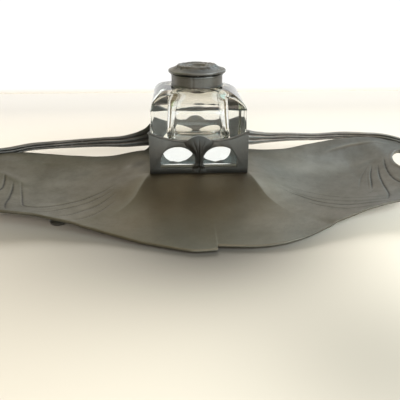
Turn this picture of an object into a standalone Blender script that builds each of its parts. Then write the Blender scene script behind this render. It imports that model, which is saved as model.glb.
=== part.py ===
"""Desk inkstand: a cast pewter pen tray with whiplash rails, an openwork gallery, and a square
glass ink bottle with a hinged pewter lid.  Metres, +Z up, front towards -Y, table at Z = 0.

Everything is modelled round the middle of the gallery, and the empty "inkstand" then puts the
origin at the middle of the whole object's footprint.
"""

import math

import bmesh
import bpy
import numpy as np
from mathutils import Vector

MM = 0.001

# --- Driving dimensions ---------------------------------------------------------------------
GALLERY_X = 2.8 * MM          # where the gallery's middle sits in the object's frame
GALLERY_Y = 38.45 * MM
DECK_Z = 12.0 * MM            # flat of the tray that the gallery stands on
PLINTH_HEIGHT = 5.0 * MM      # hollow step inside the gallery that carries the bottle
PLINTH_CLEARANCE = 0.65 * MM  # between the plinth and the gallery's panels
SHEET = 1.8 * MM              # wall of the cast tray
GAP = 0.3 * MM                # clearance between neighbouring pieces

GALLERY_WIDTH = 60.5 * MM
GALLERY_WALL = 0.9 * MM
GALLERY_CORNER_HEIGHT = 26.7 * MM
GALLERY_DIP_HEIGHT = 21.3 * MM
GALLERY_CREST_HEIGHT = 24.2 * MM
SILL_HEIGHT = 3.4 * MM        # bar below the windows
WINDOW_WIDTH = 21.0 * MM
WINDOW_HEIGHT = 13.6 * MM
WINDOW_LEG = 4.8 * MM         # straight part of the window's sides
WINDOW_OFFSET = 13.0 * MM     # window's middle from the panel's middle

BOTTLE_WIDTH = 58.1 * MM
BOTTLE_EDGE_RADIUS = 2.4 * MM
BOTTLE_BODY_HEIGHT = 39.6 * MM
BOTTLE_SHOULDER_HEIGHT = 48.1 * MM
NECK_RADIUS = 13.6 * MM
NECK_BORE = 10.5 * MM
NECK_HEIGHT = 54.6 * MM
WELL_HALF = 19.7 * MM         # half the width of the square ink well at its widest
WELL_CORNER = 6.0 * MM
WELL_FLOOR = 14.4 * MM        # heights of the bottle are above the gallery's base

COLLAR_RADIUS = 16.3 * MM
COLLAR_WALL = 1.2 * MM
COLLAR_BOTTOM = 48.6 * MM
COLLAR_TOP = 56.2 * MM
LID_RADIUS = 18.1 * MM
LID_CROWN_RADIUS = 11.0 * MM
LID_HEIGHT = 5.1 * MM
HINGE_Y = 20.4 * MM
HINGE_Z = COLLAR_TOP + 0.9 * MM
HINGE_RADIUS = 1.7 * MM
PIN_RADIUS = 0.75 * MM
KNUCKLE_LENGTH = 3.6 * MM

RAIL_THICKNESS = 3.0 * MM
FOOT_RADIUS = 5.0 * MM

# Tray outline and heights on each side of the gallery, at these distances from its middle; the
# front edge as places of (distance out, y); and the rail's run from the gallery's back corner:
# distance out, y, middle z, half height.  Past end_start the outline closes to the tip, and the
# rail follows it at the shares of that length.
STATIONS = (31, 45, 62, 80, 100, 112, 124, 146)
TRAY_SIDES = {
    "left": {
        "sign": -1,
        "tip": 148.0,
        "end_start": 98.0,
        "back_y": (19, 18, 18, 18, 17.5, 16.5, 16, 16),
        "front_edge": (
            (-6.0, -108.9),
            (0.0, -109.6),
            (4.5, -109.9),
            (11.0, -108.4),
            (20.0, -105.2),
            (31.0, -101.3),
            (45.0, -95.2),
            (62.0, -88.6),
            (80.0, -83.2),
            (90.0, -80.6),
            (100.0, -80.5),
            (112.0, -80.0),
            (124.0, -78.5),
            (146.0, -76.0),
        ),
        "back_z": (12.6, 9.6, 7.9, 8.6, 10.3, 12.0, 13.7, 15.8),
        "valley_z": (5.5, 5.2, 5.0, 5.0, 6.2, 9.5, 13.2, 15.8),
        "front_z": (4.2, 5.2, 7.0, 9.0, 11.6, 13.0, 14.4, 15.8),
        "foot": (-78.5, -72.5),
        "rail": (
            (31.0, 26.8, 21.6, 9.2),
            (35.5, 27.4, 19.0, 6.9),
            (40.5, 28.0, 17.4, 5.7),
            (49.0, 28.2, 15.8, 4.6),
            (68.0, 28.3, 15.1, 3.5),
            (88.0, 28.0, 14.3, 3.1),
            (103.0, 25.0, 14.4, 2.8),
            (116.0, 19.4, 15.0, 2.7),
        ),
        "end_shares": (0.6, 0.76, 0.88, 0.955, 0.99),
    },
    "right": {
        "sign": 1,
        "tip": 142.5,
        "end_start": 104.0,
        "back_y": (19, 18, 18, 19, 20, 20, 20, 20),
        "front_edge": (
            (6.0, -105.2),
            (15.0, -106.1),
            (24.0, -106.7),
            (31.0, -106.4),
            (38.5, -105.2),
            (45.0, -103.2),
            (54.0, -99.4),
            (62.0, -94.9),
            (70.0, -90.2),
            (80.0, -85.6),
            (90.0, -81.0),
            (100.0, -78.5),
            (112.0, -77.0),
            (124.0, -76.0),
            (146.0, -74.0),
        ),
        "back_z": (12.6, 11.2, 12.1, 15.1, 18.1, 19.3, 20.4, 20.8),
        "valley_z": (5.5, 5.2, 5.0, 5.2, 7.0, 11.0, 16.8, 20.0),
        "front_z": (4.2, 5.0, 6.8, 9.0, 12.0, 13.8, 15.8, 19.0),
        "foot": (73.0, -58.0),
        "rail": (
            (31.0, 26.8, 21.4, 9.0),
            (34.5, 27.4, 18.6, 6.2),
            (39.0, 28.0, 17.4, 5.6),
            (48.0, 28.2, 17.0, 4.3),
            (68.0, 28.3, 17.4, 3.1),
            (88.0, 28.0, 17.3, 2.7),
            (106.0, 26.0, 18.6, 2.8),
        ),
        "end_shares": (0.42, 0.6, 0.76, 0.88, 0.955, 0.99),
    },
}
NOTCH_X = 6.0                 # where the front edge steps back
BACK_FOOT = (62.0, 6.0)
END_MIDDLE_Y = -28.0
END_POWER = 2.8
LOOP_CENTRE = (-10.7, -30.0)  # grip hole, measured from the tip
LOOP_RADII = (8.0, 19.0)

RAIL_END_LEAN = math.radians(40)


# --- Materials --------------------------------------------------------------------------------
def material(name, colour, roughness, metallic, transmission=0.0):
    made = bpy.data.materials.new(name)
    made.use_nodes = True
    shader = made.node_tree.nodes["Principled BSDF"]
    shader.inputs["Base Color"].default_value = (*colour, 1.0)
    shader.inputs["Roughness"].default_value = roughness
    shader.inputs["Metallic"].default_value = metallic
    shader.inputs["Transmission Weight"].default_value = transmission
    shader.inputs["IOR"].default_value = 1.5
    return made


# --- Scene helpers ------------------------------------------------------------------------------
def clear_scene():
    for obj in list(bpy.data.objects):
        bpy.data.objects.remove(obj)


def new_collection(name):
    made = bpy.data.collections.new(name)
    bpy.context.scene.collection.children.link(made)
    return made


def empty(name, location, parent=None):
    made = bpy.data.objects.new(name, None)
    made.empty_display_size = 10 * MM
    made.location = location
    made.parent = parent
    PARTS.objects.link(made)
    return made


def mesh_object(name, points, faces, look, parent, edges=()):
    mesh = bpy.data.meshes.new(name)
    mesh.from_pydata([tuple(p) for p in points], list(edges), list(faces))
    mesh.validate()
    made = bpy.data.objects.new(name, mesh)
    mesh.materials.append(look)
    made.parent = parent
    PARTS.objects.link(made)
    return made


def as_helper(obj):
    """Marks a cutter or a piece that a union absorbs."""
    obj.hide_render = True
    obj.display_type = "WIRE"
    PARTS.objects.unlink(obj)
    CUTTERS.objects.link(obj)
    return obj


def boolean(obj, other, operation):
    step = obj.modifiers.new(operation.lower(), "BOOLEAN")
    step.operation = operation
    step.object = as_helper(other)
    step.solver = "EXACT"


def smooth(obj, angle=35):
    obj.data.shade_smooth()
    obj.data.set_sharp_from_angle(angle=math.radians(angle))


def turned(name, profile, look, parent, steps=32):
    """A ring or cap turned about Z: a closed profile of (radius, z), down the outside first."""
    count = len(profile)
    edges = [(i, (i + 1) % count) for i in range(count)]
    made = mesh_object(name, [(r, 0, z) for r, z in profile], [], look, parent, edges)
    screw = made.modifiers.new("turn", "SCREW")
    screw.steps = steps
    screw.render_steps = steps
    screw.use_merge_vertices = True
    screw.merge_threshold = 0.01 * MM
    screw.use_smooth_shade = True
    return made


def capped(name, profile, look, parent, steps=32):
    """A solid turned about Z: an open profile of (radius, z) from the axis, over, and back to it."""
    edges = [(i, i + 1) for i in range(len(profile) - 1)]
    made = mesh_object(name, [(r, 0, z) for r, z in profile], [], look, parent, edges)
    screw = made.modifiers.new("turn", "SCREW")
    screw.steps = steps
    screw.render_steps = steps
    screw.use_merge_vertices = True
    screw.merge_threshold = 0.01 * MM
    screw.use_smooth_shade = True
    return made


def cylinder_x(name, radius, length, centre, look, parent, sides=24):
    """A cylinder lying along X."""
    mesh = bpy.data.meshes.new(name)
    shape = bmesh.new()
    bmesh.ops.create_cone(
        shape, cap_ends=True, segments=sides, radius1=radius, radius2=radius, depth=length
    )
    shape.to_mesh(mesh)
    shape.free()
    made = bpy.data.objects.new(name, mesh)
    mesh.materials.append(look)
    made.location = centre
    made.rotation_euler = (0, math.pi / 2, 0)
    made.parent = parent
    PARTS.objects.link(made)
    smooth(made)
    return made


def box(name, low, high, look, parent):
    mesh = bpy.data.meshes.new(name)
    shape = bmesh.new()
    bmesh.ops.create_cube(shape, size=1.0)
    low, high = Vector(low), Vector(high)
    for vertex in shape.verts:
        vertex.co = Vector(
            ((high[k] - low[k]) * vertex.co[k] + (low[k] + high[k]) / 2) for k in range(3)
        )
    shape.to_mesh(mesh)
    shape.free()
    made = bpy.data.objects.new(name, mesh)
    mesh.materials.append(look)
    made.parent = parent
    PARTS.objects.link(made)
    return made


# --- Curves through stations --------------------------------------------------------------------
def through(stations, values, at):
    """Smooth monotone curve through the stations, evaluated at one or many places."""
    x, y = np.asarray(stations, float), np.asarray(values, float)
    steps = np.diff(y) / np.diff(x)
    slopes = np.zeros_like(y)
    slopes[0], slopes[-1] = steps[0], steps[-1]
    for i in range(1, len(y) - 1):
        if steps[i - 1] * steps[i] > 0:
            slopes[i] = 2 * steps[i - 1] * steps[i] / (steps[i - 1] + steps[i])
    at = np.clip(np.asarray(at, float), x[0], x[-1])
    i = np.clip(np.searchsorted(x, at, side="right") - 1, 0, len(x) - 2)
    width = x[i + 1] - x[i]
    t = (at - x[i]) / width
    return (
        y[i] * (2 * t**3 - 3 * t**2 + 1)
        + slopes[i] * width * (t**3 - 2 * t**2 + t)
        + y[i + 1] * (3 * t**2 - 2 * t**3)
        + slopes[i + 1] * width * (t**3 - t**2)
    )


def flowing(stations, values, at):
    """Smooth curve through the stations that may swing past them, for sweeping paths."""
    x, y = np.asarray(stations, float), np.asarray(values, float)
    slopes = np.gradient(y, x)
    i = np.clip(np.searchsorted(x, at, side="right") - 1, 0, len(x) - 2)
    width = x[i + 1] - x[i]
    t = (at - x[i]) / width
    return (
        y[i] * (2 * t**3 - 3 * t**2 + 1)
        + slopes[i] * width * (t**3 - 2 * t**2 + t)
        + y[i + 1] * (3 * t**2 - 2 * t**3)
        + slopes[i + 1] * width * (t**3 - t**2)
    )


def smoothstep(low, high, at):
    t = np.clip((np.asarray(at, float) - low) / (high - low), 0, 1)
    return t * t * (3 - 2 * t)


# --- Tray surface, in millimetres round the gallery's middle ---------------------------------------
def side_of(x):
    return TRAY_SIDES["left" if x < 0 else "right"]


def end_closing(side, out):
    """1 along the wing, falling to 0 at the tip, as a rounded end."""
    share = np.clip((out - side["end_start"]) / (side["tip"] - side["end_start"]), 0, 1)
    return math.sqrt(max(0.0, 1 - share**END_POWER))


def tray_edges(x):
    """(back y, front y) of the tray's outline at x."""
    side, out = side_of(x), abs(x)
    back = float(through(STATIONS, side["back_y"], out))
    behind_gallery = 33.0
    back += (behind_gallery - back) * (1 - float(smoothstep(30.8, 37.0, out)))
    edge = TRAY_SIDES["left" if x < NOTCH_X else "right"]
    front = float(through(*zip(*edge["front_edge"]), edge["sign"] * x))
    closing = end_closing(side, out)
    back = END_MIDDLE_Y + (back - END_MIDDLE_Y) * closing
    front = END_MIDDLE_Y + (front - END_MIDDLE_Y) * closing
    return back, front


def wing_height(x, y):
    """Height of the wing's hollow: back rim, valley and front rim joined by two parabolas."""
    side, out = side_of(x), abs(x)
    back, front = tray_edges(x)
    v = np.clip((back - y) / max(back - front, 1e-6), 0, 1)
    back_z = float(through(STATIONS, side["back_z"], out))
    valley_z = float(through(STATIONS, side["valley_z"], out))
    front_z = float(through(STATIONS, side["front_z"], out))
    middle = 0.52
    if v < middle:
        return valley_z + (back_z - valley_z) * (1 - v / middle) ** 2.4
    return valley_z + (front_z - valley_z) * ((v - middle) / (1 - middle)) ** 2.2


def hill(x, y):
    """1 on the deck under the gallery, falling smoothly away from it."""
    half = GALLERY_WIDTH / MM / 2 + 0.6
    dx, dy = max(abs(x) - half, 0.0), max(abs(y) - half, 0.0)
    return math.exp(-((math.hypot(dx * 1.25, dy) / 25.0) ** 2))


def scoop_share(y):
    """0 at the gallery's front, 1 at the far end of the scoop before it."""
    return float(np.clip((-GALLERY_WIDTH / MM / 2 - 0.6 - y) / 80.0, 0, 1))


def ridge_at(forward):
    """How far from the middle the ridge beside the scoop runs."""
    if forward < 0.25:
        return 31.0 + 24.0 * forward
    return 37.0 + 60.0 * (forward - 0.25) ** 1.3


def apron_height(x, y):
    """Height of the scoop in front of the gallery, meeting the wing along a curved ridge."""
    forward = scoop_share(y)
    ridge_x = ridge_at(forward)
    centre_z = 3.3 + (DECK_Z / MM - 3.3) * (1 - forward) ** 4.2
    side_x = math.copysign(ridge_x, x if x else 1)
    ridge_z = deck_and_wing(side_x, y)
    return centre_z + (ridge_z - centre_z) * (abs(x) / ridge_x) ** 2


def deck_and_wing(x, y):
    wing = wing_height(x, y)
    return wing + (DECK_Z / MM - wing) * hill(x, y)


def tray_height(x, y):
    """Top surface of the tray."""
    forward = scoop_share(y)
    if forward > 0 and abs(x) < ridge_at(forward):
        return min(deck_and_wing(x, y), apron_height(x, y))
    return deck_and_wing(x, y)


def tray_columns():
    """Places of the tray's cross sections: close together where the outline turns quickly."""
    before, after = NOTCH_X - 0.1, NOTCH_X + 0.1
    places = [0.0, 4.5, before, after, 12, 20, 27, 30.8, 32.5, 34.5, 37, 42, 48, 55, 63, 72, 81, 90, 99, 108]
    columns = []
    for side in TRAY_SIDES.values():
        sign, tip = side["sign"], side["tip"]
        run = [p for p in places if sign > 0 or p not in (before, after)]
        ends = [108 + (tip - 108) * math.sin(math.pi / 2 * k / 7) for k in range(1, 7)]
        run += ends + [tip - 0.15]
        columns += [sign * p for p in run]
    return sorted(set(columns))


def tray_rows(count=15):
    return [0.5 - 0.5 * math.cos(math.pi * k / (count - 1)) * 0.55 - (0.5 - k / (count - 1)) * 0.45
            for k in range(count)]


def build_tray(look, parent):
    columns, rows = tray_columns(), tray_rows()
    points = []
    for x in columns:
        back, front = tray_edges(x)
        for v in rows:
            y = back + (front - back) * v
            points.append((x * MM, y * MM, tray_height(x, y) * MM))
    high = len(rows)
    faces = [
        (c * high + r, c * high + r + 1, (c + 1) * high + r + 1, (c + 1) * high + r)
        for c in range(len(columns) - 1)
        for r in range(high - 1)
    ]
    tray = mesh_object("tray", points, faces, look, parent)
    shape = bmesh.new()
    shape.from_mesh(tray.data)
    sheet = bmesh.ops.extrude_face_region(shape, geom=shape.faces[:], use_keep_orig=True)
    under = [part for part in sheet["geom"] if isinstance(part, bmesh.types.BMVert)]
    bmesh.ops.translate(shape, verts=under, vec=(0, 0, -SHEET))
    bmesh.ops.recalc_face_normals(shape, faces=shape.faces)
    shape.to_mesh(tray.data)
    shape.free()
    raise_plinth(tray, look, parent)
    for name, side in TRAY_SIDES.items():
        boolean(tray, loop_cutter(name + "_grip_cutter", side, look, parent), "DIFFERENCE")
    smooth(tray, 50)
    return tray


def raise_plinth(tray, look, parent):
    """Raises the bottle's plinth from the deck, hollow below like the rest of the casting."""
    half = GALLERY_WIDTH / 2 - GALLERY_WALL - PLINTH_CLEARANCE
    top = DECK_Z + PLINTH_HEIGHT
    step = box("plinth", (-half, -half, DECK_Z - MM), (half, half, top), look, parent)
    boolean(tray, step, "UNION")
    inner = half - SHEET
    hollow = box("plinth_hollow", (-inner, -inner, 0), (inner, inner, top - SHEET), look, parent)
    boolean(tray, hollow, "DIFFERENCE")


def loop_cutter(name, side, look, parent):
    """Upright egg-shaped prism that opens the grip hole in a wing's end."""
    mesh = bpy.data.meshes.new(name)
    shape = bmesh.new()
    bmesh.ops.create_cone(
        shape, cap_ends=True, segments=28, radius1=MM, radius2=MM, depth=60 * MM
    )
    for vertex in shape.verts:
        inward = max(0.0, -side["sign"] * vertex.co.x / MM)
        vertex.co = Vector(
            (
                vertex.co.x * LOOP_RADII[0],
                vertex.co.y * LOOP_RADII[1] * (1 - 0.15 * inward),
                vertex.co.z,
            )
        )
    shape.to_mesh(mesh)
    shape.free()
    made = bpy.data.objects.new(name, mesh)
    mesh.materials.append(look)
    made.location = (
        side["sign"] * (side["tip"] + LOOP_CENTRE[0]) * MM,
        LOOP_CENTRE[1] * MM,
        DECK_Z,
    )
    made.parent = parent
    PARTS.objects.link(made)
    return made


# --- Rails --------------------------------------------------------------------------------------
def rim_offset(side, share, back, distance):
    """Point outside the wing's outline: share 0 where its end starts, 1 at the tip."""
    sign = side["sign"]
    x = side["end_start"] + (side["tip"] - side["end_start"]) * share
    near, far = x - 0.4, min(x + 0.4, side["tip"] - 0.01)
    pick = 0 if back else 1
    here = np.array([x, tray_edges(sign * x)[pick]])
    along = np.array([far - near, tray_edges(sign * far)[pick] - tray_edges(sign * near)[pick]])
    along /= np.linalg.norm(along)
    normal = np.array([-along[1], along[0]]) * (1 if back else -1)
    place = here + normal * distance
    edge = 0.08 if back else 0.92
    level = wing_height(sign * x, here[1] + (END_MIDDLE_Y - here[1]) * min(edge, 1 - edge))
    return place, level


def rail_path(side):
    """Stations from the gallery round to the front rim: x, y, z, half height, half thickness and
    lean, the angle by which the top tips away from the tray."""
    stations = [(x, y, z, h, RAIL_THICKNESS / MM / 2, 0.0) for x, y, z, h in side["rail"]]
    shares = [(s, True) for s in side["end_shares"]]
    shares += [(s, False) for s in reversed(side["end_shares"])] + [(0.4, False)]
    for k, (share, back) in enumerate(shares):
        fade = 1 - 0.6 * (k / (len(shares) - 1)) ** 2
        half = RAIL_THICKNESS / MM / 2 * fade
        height = 2.7 * fade
        lean = RAIL_END_LEAN * min(1.0, (k + 1) / 3)
        clear = half * math.cos(lean) + 0.75 * height * math.sin(lean) + GAP / MM
        (x, y), level = rim_offset(side, share, back, clear)
        stations.append((x, y, level + 0.4, height, half, lean))
    return stations


def rail_section(half_height, half_thickness, ribs=3):
    """Outline of the ribbed rail: soft ribs on each face and narrow edges."""
    ring = []
    count = 2 * ribs + 1
    for face in (1, -1):
        for k in range(count):
            height = (-1 + 2 * k / (count - 1)) * 0.97
            rib = 0.78 + 0.22 * (k % 2)
            bulge = math.sqrt(1 - abs(height) ** 3)
            ring.append((face * half_thickness * rib * bulge, face * height * half_height))
    return ring


def build_rail(name, side, look, parent, samples=38):
    """A sweep of the ribbed section along the rail's stations."""
    stations = np.array(rail_path(side))
    lengths = np.r_[0, np.cumsum(np.linalg.norm(np.diff(stations[:, :2], axis=0), axis=1))]
    places = np.linspace(0, lengths[-1], samples)
    track = np.array([flowing(lengths, stations[:, k], places) for k in range(6)]).T
    tangents = np.gradient(track[:, :3], axis=0)
    points, faces = [], []
    for (x, y, z, half_height, half_thickness, lean), tangent in zip(track, tangents):
        outward = np.array([-tangent[1], tangent[0], 0.0])
        outward /= np.linalg.norm(outward)
        upward = np.array([0.0, 0.0, 1.0])
        across = outward * math.cos(lean) - upward * math.sin(lean)
        along = outward * math.sin(lean) + upward * math.cos(lean)
        for a, b in rail_section(half_height, half_thickness):
            point = np.array([x, y, z]) + across * a + along * b
            points.append((side["sign"] * point[0] * MM, point[1] * MM, point[2] * MM))
    ring = len(rail_section(1, 1))
    for s in range(samples - 1):
        for k in range(ring):
            a, b = s * ring + k, s * ring + (k + 1) % ring
            faces.append((a, a + ring, b + ring, b))
    faces.append(tuple(range(ring)))
    faces.append(tuple(reversed(range((samples - 1) * ring, samples * ring))))
    rail = mesh_object(name, points, faces, look, parent)
    shape = bmesh.new()
    shape.from_mesh(rail.data)
    bmesh.ops.recalc_face_normals(shape, faces=shape.faces)
    shape.to_mesh(rail.data)
    shape.free()
    smooth(rail, 60)
    return rail


# --- Gallery --------------------------------------------------------------------------------------
def panel_top(x):
    """Height of a panel's top edge: high corners, a dip, and a crest in the middle."""
    out = abs(x)
    crest_half, dip_start, corner = 7.6 * MM, 10.0 * MM, GALLERY_WIDTH / 2
    if out < crest_half:
        rise = GALLERY_CREST_HEIGHT - GALLERY_DIP_HEIGHT
        return GALLERY_DIP_HEIGHT + rise * math.cos(math.pi * out / crest_half / 2) ** 2
    if out < dip_start:
        return GALLERY_DIP_HEIGHT
    share = (out - dip_start) / (corner - dip_start)
    return GALLERY_DIP_HEIGHT + (GALLERY_CORNER_HEIGHT - GALLERY_DIP_HEIGHT) * share**1.8


def window_outline(middle):
    """Arched window: a half ellipse on two short legs."""
    arch = [
        (
            middle + WINDOW_WIDTH / 2 * math.cos(math.pi * k / 14),
            SILL_HEIGHT + WINDOW_LEG + (WINDOW_HEIGHT - WINDOW_LEG) * math.sin(math.pi * k / 14),
        )
        for k in range(15)
    ]
    return arch + [(middle - WINDOW_WIDTH / 2, SILL_HEIGHT), (middle + WINDOW_WIDTH / 2, SILL_HEIGHT)]


def panel_outline(half_width):
    top = [half_width * (1 - 2 * k / 36) for k in range(37)]
    return [(-half_width, 0.0), (half_width, 0.0)] + [(x, panel_top(x)) for x in top]


def panel_mesh(name, half_width):
    """A pierced panel in the XZ plane, from a filled 2D curve."""
    curve = bpy.data.curves.new(name, "CURVE")
    curve.dimensions = "2D"
    curve.fill_mode = "BOTH"
    curve.extrude = GALLERY_WALL / 2
    outlines = [panel_outline(half_width)]
    outlines += [window_outline(WINDOW_OFFSET), window_outline(-WINDOW_OFFSET)]
    for outline in outlines:
        spline = curve.splines.new("POLY")
        spline.points.add(len(outline) - 1)
        for point, (x, z) in zip(spline.points, outline):
            point.co = (x, z, 0, 1)
        spline.use_cyclic_u = True
    shape_object = bpy.data.objects.new(name + "_curve", curve)
    CUTTERS.objects.link(shape_object)
    graph = bpy.context.evaluated_depsgraph_get()
    mesh = bpy.data.meshes.new_from_object(shape_object.evaluated_get(graph))
    bpy.data.objects.remove(shape_object)
    shape = bmesh.new()
    shape.from_mesh(mesh)
    bmesh.ops.remove_doubles(shape, verts=shape.verts, dist=0.01 * MM)
    shape.to_mesh(mesh)
    shape.free()
    return mesh


def boss(name, look, parent):
    """Tulip boss on the panel's crest: a squashed head over a keel that narrows downwards."""
    shape = bmesh.new()
    bmesh.ops.create_uvsphere(shape, u_segments=16, v_segments=10, radius=1.0)
    for vertex in shape.verts:
        narrowing = 1.0 if vertex.co.z > 0 else max(0.24, 1 + 1.7 * vertex.co.z)
        reach = 5.0 if vertex.co.z > 0 else 14.5
        vertex.co = Vector(
            (
                vertex.co.x * 7.8 * MM * narrowing,
                vertex.co.y * 2.1 * MM * (0.6 + 0.4 * narrowing),
                (19.0 + vertex.co.z * reach) * MM,
            )
        )
    mesh = bpy.data.meshes.new(name)
    shape.to_mesh(mesh)
    shape.free()
    made = bpy.data.objects.new(name, mesh)
    mesh.materials.append(look)
    made.parent = parent
    PARTS.objects.link(made)
    return made


def build_gallery(look, parent):
    """Four pierced panels: front and back run full width, the sides fit between them."""
    half = GALLERY_WIDTH / 2
    full = panel_mesh("gallery_panel_full", half)
    inset = panel_mesh("gallery_panel_inset", half - GALLERY_WALL - 0.5 * GAP)
    reach = half - GALLERY_WALL / 2
    places = (
        ("gallery_front", full, (0, -reach), 0.0),
        ("gallery_back", full.copy(), (0, reach), math.pi),
        ("gallery_left", inset, (-reach, 0), -math.pi / 2),
        ("gallery_right", inset, (reach, 0), math.pi / 2),
    )
    for name, mesh, (x, y), turn in places:
        panel = bpy.data.objects.new(name, mesh)
        mesh.materials.clear()
        mesh.materials.append(look)
        panel.location = (x, y, DECK_Z + 0.5 * GAP)
        panel.rotation_euler = (math.pi / 2, 0, turn)
        panel.parent = parent
        PARTS.objects.link(panel)
        if mesh is not inset:
            helper = boss(name + "_boss", look, parent)
            outward = -1 if name == "gallery_front" else 1
            helper.location = (0, y + outward * 1.0 * MM, DECK_Z + 0.5 * GAP)
            boolean(panel, helper, "UNION")
            keep_clear(panel, name, y, outward, look, parent)


def keep_clear(panel, name, y, outward, look, parent):
    """Trims the boss flush with the panel's inner face, so that the bottle clears it."""
    inner = y - outward * GALLERY_WALL / 2
    low_y, high_y = sorted((inner, inner - outward * 8 * MM))
    half = GALLERY_WIDTH / 2
    trim = box(
        name + "_trim", (-half, low_y, DECK_Z - MM), (half, high_y, DECK_Z + 40 * MM), look, parent
    )
    boolean(panel, trim, "DIFFERENCE")


# --- Bottle ---------------------------------------------------------------------------------------
def rounded_square(half, radius, z, per_corner=8):
    """Loop of a square with rounded corners; radius equal to half gives a circle."""
    loop = []
    for corner in range(4):
        middle = math.pi / 4 + corner * math.pi / 2
        cx = math.copysign(half - radius, math.cos(middle))
        cy = math.copysign(half - radius, math.sin(middle))
        for k in range(per_corner):
            angle = corner * math.pi / 2 + (k + 0.5) / per_corner * math.pi / 2
            loop.append((cx + radius * math.cos(angle), cy + radius * math.sin(angle), z))
    return loop


def loft(name, loops, look, parent):
    """Closed solid through loops of equal length; the first and last loops are filled."""
    points = [p for loop in loops for p in loop]
    ring = len(loops[0])
    faces = [
        (s * ring + k, s * ring + (k + 1) % ring, (s + 1) * ring + (k + 1) % ring, (s + 1) * ring + k)
        for s in range(len(loops) - 1)
        for k in range(ring)
    ]
    faces.append(tuple(reversed(range(ring))))
    faces.append(tuple(range((len(loops) - 1) * ring, len(loops) * ring)))
    made = mesh_object(name, points, faces, look, parent)
    smooth(made, 35)
    return made


def build_bottle(look, parent):
    """Square block of glass with a low shoulder, a round neck and a tapering square well."""
    half, edge, base = BOTTLE_WIDTH / 2, BOTTLE_EDGE_RADIUS, PLINTH_HEIGHT
    loops = [
        rounded_square(half - 0.8 * MM, edge, base),
        rounded_square(half, edge, base + 0.8 * MM),
        rounded_square(half, edge, BOTTLE_BODY_HEIGHT - 1.0 * MM),
        rounded_square(half - 0.7 * MM, edge, BOTTLE_BODY_HEIGHT + 0.6 * MM),
    ]
    rise = BOTTLE_SHOULDER_HEIGHT - BOTTLE_BODY_HEIGHT
    for share in (0.25, 0.5, 0.75, 1.0):
        size = half + (NECK_RADIUS + 0.6 * MM - half) * share
        round_off = edge + (size - edge) * share**2
        height = BOTTLE_BODY_HEIGHT + rise * math.sin(math.pi / 2 * share) ** 0.8
        loops.append(rounded_square(size, round_off, height))
    loops += [
        rounded_square(NECK_RADIUS, NECK_RADIUS, BOTTLE_SHOULDER_HEIGHT + 0.3 * MM),
        rounded_square(NECK_RADIUS, NECK_RADIUS, NECK_HEIGHT - 0.6 * MM),
        rounded_square(NECK_RADIUS - 0.6 * MM, NECK_RADIUS - 0.6 * MM, NECK_HEIGHT),
        rounded_square(NECK_BORE + 0.5 * MM, NECK_BORE + 0.5 * MM, NECK_HEIGHT),
        rounded_square(NECK_BORE, NECK_BORE, NECK_HEIGHT - 0.5 * MM),
        rounded_square(NECK_BORE, NECK_BORE, BOTTLE_SHOULDER_HEIGHT - 3.5 * MM),
        rounded_square(WELL_HALF - 3.0 * MM, 10.0 * MM, BOTTLE_BODY_HEIGHT - 1.5 * MM),
        rounded_square(WELL_HALF, WELL_CORNER, BOTTLE_BODY_HEIGHT - 6.0 * MM),
        rounded_square(WELL_HALF - 0.6 * MM, WELL_CORNER, WELL_FLOOR + 8.0 * MM),
        rounded_square(WELL_HALF - 2.0 * MM, WELL_CORNER, WELL_FLOOR + 3.5 * MM),
        rounded_square(WELL_HALF - 4.6 * MM, WELL_CORNER, WELL_FLOOR + 0.8 * MM),
        rounded_square(WELL_HALF - 8.0 * MM, WELL_CORNER, WELL_FLOOR),
    ]
    return loft("bottle", loops, look, parent)


def build_collar(metal, plaster, parent):
    """Collar cemented on the neck, its plaster bed, and the two fixed hinge knuckles."""
    inner = COLLAR_RADIUS - COLLAR_WALL
    bed_inner, bed_outer = NECK_RADIUS + 0.15 * MM, inner - 0.15 * MM
    turned(
        "plaster_bed",
        [
            (bed_outer, NECK_HEIGHT - 0.4 * MM),
            (bed_outer, COLLAR_BOTTOM),
            (bed_inner, COLLAR_BOTTOM),
            (bed_inner, NECK_HEIGHT - 0.4 * MM),
        ],
        plaster,
        parent,
    )
    collar = turned(
        "collar",
        [
            (COLLAR_RADIUS - 0.5 * MM, COLLAR_TOP),
            (COLLAR_RADIUS, COLLAR_TOP - 0.5 * MM),
            (COLLAR_RADIUS, COLLAR_BOTTOM + 0.9 * MM),
            (COLLAR_RADIUS + 0.3 * MM, COLLAR_BOTTOM + 0.6 * MM),
            (COLLAR_RADIUS + 0.3 * MM, COLLAR_BOTTOM),
            (inner, COLLAR_BOTTOM),
            (inner, NECK_HEIGHT + GAP / 2),
            (NECK_RADIUS, NECK_HEIGHT + GAP / 2),
            (NECK_RADIUS, COLLAR_TOP),
        ],
        metal,
        parent,
    )
    return collar


def hinge_leaf(name, offsets, plate_low, plate_high, hole, look, parent):
    """A strap with knuckles at the given places along X, bored for the pin."""
    width = max(abs(o) for o in offsets) + KNUCKLE_LENGTH / 2
    leaf = box(name, (-width, plate_low[0], plate_low[1]), (width, plate_high[0], plate_high[1]), look, parent)
    for k, offset in enumerate(offsets):
        knuckle = cylinder_x(
            f"{name}_knuckle_{k}", HINGE_RADIUS, KNUCKLE_LENGTH, (offset, HINGE_Y, HINGE_Z), look, parent
        )
        boolean(leaf, knuckle, "UNION")
    bore = cylinder_x(name + "_bore", hole, 30 * MM, (0, HINGE_Y, HINGE_Z), look, parent)
    boolean(leaf, bore, "DIFFERENCE")
    return leaf


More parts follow.
